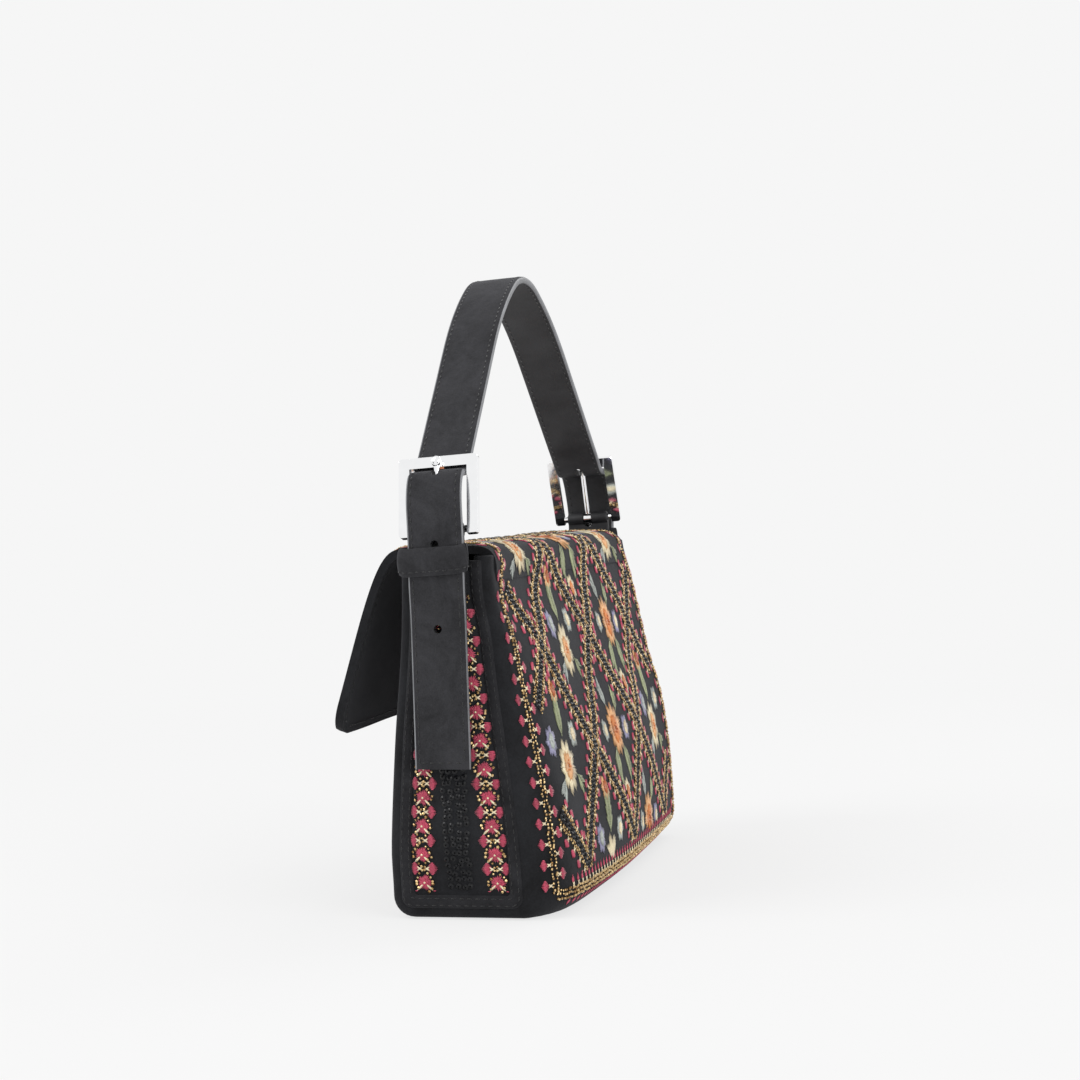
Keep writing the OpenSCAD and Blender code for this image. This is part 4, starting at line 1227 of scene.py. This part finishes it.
def daisy(u, v, radius, outer_colour, inner_colour, petals, heart=None):
    """Round flower of radiating threads in two tones."""
    n = int(radius * 7)
    for k in range(n):
        a = 2 * math.pi * (k + chance.uniform(-.2, .2)) / n
        reach = radius * (0.72 + 0.28 * abs(math.cos(petals * a / 2))) * chance.uniform(0.93, 1.05)
        sewn(u + math.cos(a) * reach * 0.55, v + math.sin(a) * reach * 0.55, a, reach * 0.95, 0.62, 0.42, 0.15,
             outer_colour)
    n = int(radius * 3.6)
    for k in range(n):
        a = 2 * math.pi * (k + chance.uniform(-.2, .2)) / n
        reach = radius * 0.52 * chance.uniform(0.85, 1.15)
        sewn(u + math.cos(a) * reach * 0.5, v + math.sin(a) * reach * 0.5, a, reach, 0.55, 0.45, 0.42, inner_colour)
    if heart:
        for k in range(7):
            a = k * 2.4
            r = 0.32 * math.sqrt(k) * radius / 4
            sewn(u + r * math.cos(a), v + r * math.sin(a), a, 1.1, 1.1, 0.8, 0.7, heart)


def spray(u, v, angle, long, colour, leaf=4.2, bend=0.25):
    """Leaf spray: a stem with slanting threads on both sides, longest low down."""
    n = int(long / 1.05)
    x, y, a = u, v, angle
    for k in range(n):
        t = k / n
        x += math.cos(a) * long / n
        y += math.sin(a) * long / n
        a += bend / n
        sewn(x, y, a, long / n * 1.4, 0.5, 0.4, 0.12, colour)
        size = leaf * (1 - t) ** 0.6 * chance.uniform(0.8, 1.15)
        for turn in (0.62, -0.62):
            sewn(x + math.cos(a + turn) * size * 0.5, y + math.sin(a + turn) * size * 0.5, a + turn, size, 0.5, 0.4,
                 0.2, colour)


def clear_of(test):
    """Takes back what was just laid outside the panel."""
    work[:] = [w for w in work if test(w[0], w[1])]


def lattice(low, high, half):
    """Both families of the diagonal bands, cut to the panel."""
    for way in (1, -1):
        for k in range(-8, 9):
            (ua, va), (ub, vb) = ((k * CELL + way * (v - low) / LEAN, v) for v in (low, high))
            if ua > ub:
                ua, va, ub, vb = ub, vb, ua, va
            if ub < -half or ua > half:
                continue
            slope = (vb - va) / (ub - ua)
            if ua < -half:
                ua, va = -half, va + slope * (-half - ua)
            if ub > half:
                ub, vb = half, vb + slope * (half - ub)
            if math.hypot(ub - ua, vb - va) < 12:
                continue
            for shift in (-4.2, -3.0, 3.0, 4.2):
                bead_line(ua, va, ub, vb, shift, 1.7)
            turn = math.atan2(vb - va, ub - ua)
            for shift in (-1.3, 1.3):
                du, dv = -math.sin(turn) * shift, math.cos(turn) * shift
                sequin_line(ua + du, va + dv, ub + du, vb + dv)
            long = math.hypot(ub - ua, vb - va)
            for m in range(int(long / 6.8)):
                a = (m + 0.5) * 6.8 / long
                for shift, face in ((7.6, 1), (-7.6, -1)):
                    lozenge(ua + (ub - ua) * a - math.sin(turn) * shift, va + (vb - va) * a + math.cos(turn) * shift,
                            turn + face * math.pi / 2, 5.0, 4.0)


def cells(low, high, half):
    """What fills the lattice: two groups of flowers and leaves that take turns."""
    tall = CELL * LEAN
    for row in range(0, 9):
        v = low + row * tall / 2
        if v > high + 8:
            break
        for k in range(-5, 6):
            u = k * CELL + (CELL / 2 if row % 2 == 0 else 0)
            if abs(u) > half + 12:
                continue
            if (row + k) % 2:
                spray(u + 5, v + 12, 1.35, 24, "grey", 7.0, -0.4)
                spray(u - 7, v - 5, -2.0, 30, "sage", 8.4, 0.5)
                spray(u + 7, v - 5, -1.15, 30, "sage", 8.4, -0.4)
                spray(u - 9, v + 9, 2.0, 20, "sage", 6.4, -0.3)
                daisy(u, v + 2, 13.0, "peach", "orange", 11, "rust")
                daisy(u - 19, v + 1, 6.6, "lilac", "ivory", 6)
                daisy(u + 19, v + 3, 5.6, "grey", "ivory", 5)
                daisy(u + 3, v - 26, 7.0, "ivory", "orange", 7)
            else:
                spray(u, v + 7, 1.6, 30, "sage", 8.4, 0.3)
                spray(u + 10, v - 9, -0.9, 25, "grey", 7.0, 0.4)
                spray(u - 10, v - 9, -2.3, 25, "sage", 7.4, -0.4)
                daisy(u + 1, v - 5, 12.6, "ivory", "peach", 9, "orange")
                daisy(u + 17, v + 7, 7.2, "lilac", "grey", 7)
                daisy(u - 16, v + 7, 6.4, "grey", "ivory", 6)
                daisy(u - 2, v + 27, 6.8, "peach", "rust", 8)


def off_bands(u, v):
    """True where a thread of a cell stops clear of the bands."""
    for way in (1, -1):
        at = ((v - LOW_WORK) / LEAN - way * u) / CELL
        if abs(at - round(at)) * CELL * LEAN / math.hypot(1, LEAN) < BAND_HALF:
            return False
    return True


def borders(low, high, half):
    """Straight border: two bead lines with lozenges on both sides, up each end and along the foot."""
    for sign in (-1, 1):
        for shift in (-0.9, 0.9):
            bead_line(sign * (half + 6), low - 8, sign * (half + 6), high, shift, 1.4)
        for m in range(int((high - low + 8) / 8.4)):
            v = low - 4 + m * 8.4
            lozenge(sign * (half + 10), v, 0.0 if sign > 0 else math.pi, 4.4, 4.6)
            lozenge(sign * (half + 1.4), v + 4.2, math.pi if sign > 0 else 0.0, 5.2, 4.8)
    for shift in (-1.6, 0, 1.6):
        bead_line(-half - 6, low - 8, half + 6, low - 8, shift, 1.4)
    for m in range(int(2 * half / 5.2)):
        u = -half + (m + 0.5) * 5.2
        lozenge(u, low - 3.4, math.pi / 2, 4.6, 1.8)
        lozenge(u + 2.6, low - 12.0, -math.pi / 2, 3.4, 1.6, "crimson", None)


finishes = {colour: thread(f"{colour}_cotton", code) for colour, code in (
    ("crimson", "#c04862"), ("ivory", "#f3dcb9"), ("sage", "#a6ad86"), ("peach", "#ebb27d"),
    ("orange", "#dc8a4c"), ("rust", "#b8602a"), ("grey", "#b4bab4"), ("lilac", "#9a97b4"))}
# Glass seed beads lined with gold foil: bright facets, warm depths
gold, tree, out, place = material("gold_lined_glass_bead")
foil = tones(tree, noise(tree, place, 700, 1), linear("#8a642f"), linear("#e2c48c"), 0.35, 0.65)
surface(tree, out, {"Base Color": foil, "Metallic": 0.75, "Roughness": 0.24, "Coat Weight": 0.5,
                    "Coat Roughness": 0.08})
# Black PET sequins, cupped: dark with sharp glints
jet, tree, out, place = material("jet_sequin")
film = tones(tree, noise(tree, place, 400, 1), linear("#060607"), linear("#17171b"))
surface(tree, out, {"Base Color": film, "Roughness": 0.26, "IOR": 1.34})
finishes.update(gold=gold, sequin=jet)
bead_tree, cup_tree = repeat_tree("glass_bead", True), repeat_tree("cupped_sequin", True, ring_shape=True)
satin_tree = repeat_tree("satin_stitch", False)


def lay(prefix, panel, chosen, fix):
    """Sews the chosen work on a panel, one piece for each colour."""
    for colour, finish in finishes.items():
        rows = [w for w in chosen if w[7] == colour]
        if not rows:
            continue
        values = np.array([w[:7] for w in rows], float)
        if panel is cover_panel:  # the flap is narrower than the body, so its work draws in
            values[:, 0] *= 1 - 0.069 * grow(values[:, 1], COVER_LOW - 12, COVER_LOW + 14)
        places, along, outs = panel.place(values[:, 0], values[:, 1], values[:, 2], values[:, 6])
        tree = bead_tree if colour == "gold" else cup_tree if colour == "sequin" else satin_tree
        fix(repeat(f"{prefix}_{colour}", tree, places, along, outs, values[:, 3:6], finish, 1.0, 1.0, 1.0))


TOP_V = COVER_LOW + COVER_LONG - 15
work.clear()
cells(LOW_WORK, TOP_V, HALF_WORK - 8)
clear_of(lambda u, v: abs(u) < HALF_WORK - 2 and LOW_WORK - 1 < v < TOP_V)
kept = [w for w in work if off_bands(w[0], w[1])]
work.clear()
lattice(LOW_WORK, TOP_V, HALF_WORK - 2)
clear_of(lambda u, v: abs(u) < HALF_WORK and LOW_WORK - 2 < v < TOP_V + 2)
kept += work
work.clear()
borders(LOW_WORK, COVER_LOW + COVER_LONG - 8, HALF_WORK)
kept += work
MID_V = COVER_LOW + float(cover_far[MIDDLE])
bag_part = [w for w in kept if w[1] < COVER_LOW - 0.5]
top_part = [w for w in kept if COVER_LOW - 0.5 <= w[1] < MID_V]
drop_part = [w for w in kept if MID_V <= w[1] < COVER_LOW + COVER_LONG - 1.5 and abs(w[0]) < 129]
lay("back_work", cover_panel, bag_part, lambda o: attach(o, "bag"))
lay("flap_top_work", cover_panel, top_part,
    lambda o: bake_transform(o, "bag", "flap_top", start=(0, 0.0215, 0.143), end=(0, 0.015, 0.151)))
lay("flap_drop_work", cover_panel, drop_part,
    lambda o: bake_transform(o, "flap_top", "flap_drop", start=(0, -0.017, 0.151), end=(0, -0.024, 0.146)))

work.clear()
borders(20, 104, 110.0)
front_part = [w for w in work if 6 < w[1] < 64]
lay("front_work", front_panel, front_part, lambda o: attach(o, "bag"))


def end_work(x):
    """Two upright chains of bead lozenges with satin blossoms follow the end's seams, with sequins between."""

    def chain(side, v):
        """How far across the middle of a chain is."""
        wall = back_out(x, max(v, ROUND)) if side > 0 else front_y(x, max(v, ROUND))
        return side * (float(wall) - 14.4)

    for side in (-1, 1):
        for m in range(11):
            v = 9 + m * 11.6
            foot, waist, head = chain(side, v), chain(side, v + 5.8), chain(side, v + 11.6)
            a, b, c, d = (foot, v), (waist + 4.3, v + 5.8), (head, v + 11.6), (waist - 4.3, v + 5.8)
            for p, q in ((a, b), (b, c), (a, d), (d, c)):
                bead_line(*p, *q, 0.0, 1.6)
            daisy(waist, v + 5.8, 3.7, "crimson", "crimson", 5)
            for turn in (0, math.pi):
                lozenge(foot + math.cos(turn) * 3.8, v, turn, 5.4, 5.2)
            sewn(waist, v + 5.8, 0, 1.0, 1.0, 0.8, 0.8, "ivory")
            for turn in (0.75, math.pi - 0.75):
                sewn(waist + math.cos(turn) * 2.8, v + 5.8 - math.sin(turn) * 2.9, -turn, 4.0, 1.0, 0.6, 0.5, "ivory")
    for m in range(46):
        v = 8 + m * 2.8
        middle, room = (chain(1, v) + chain(-1, v)) / 2, (chain(1, v) - chain(-1, v)) / 2 - 6.5
        for k in (-4.2, -1.4, 1.4, 4.2):
            if abs(k) < room:
                du, dv = chance.uniform(-0.6, 0.6, 2)
                sewn(middle + k + du, v + dv, chance.uniform(0, 3), 2.5, 2.5, 0.9, 0.4 + 0.3 * chance.uniform(),
                     "sequin")


def on_end(sign, u, v):
    """True on the end's panel, clear of its seam borders."""
    x, z = sign * HALF, max(v, ROUND)
    return 10.4 - float(front_y(x, z)) < u < float(back_out(x, z)) - 10.4 and 11.0 < v < 134


for label, sign in BOTH_ENDS:
    work.clear()
    end_work(sign * HALF)
    inside = [w for w in work if on_end(sign, w[0], w[1])]
    lay(f"gusset_work_{label}", end_panels[label], inside, lambda o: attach(o, "bag"))
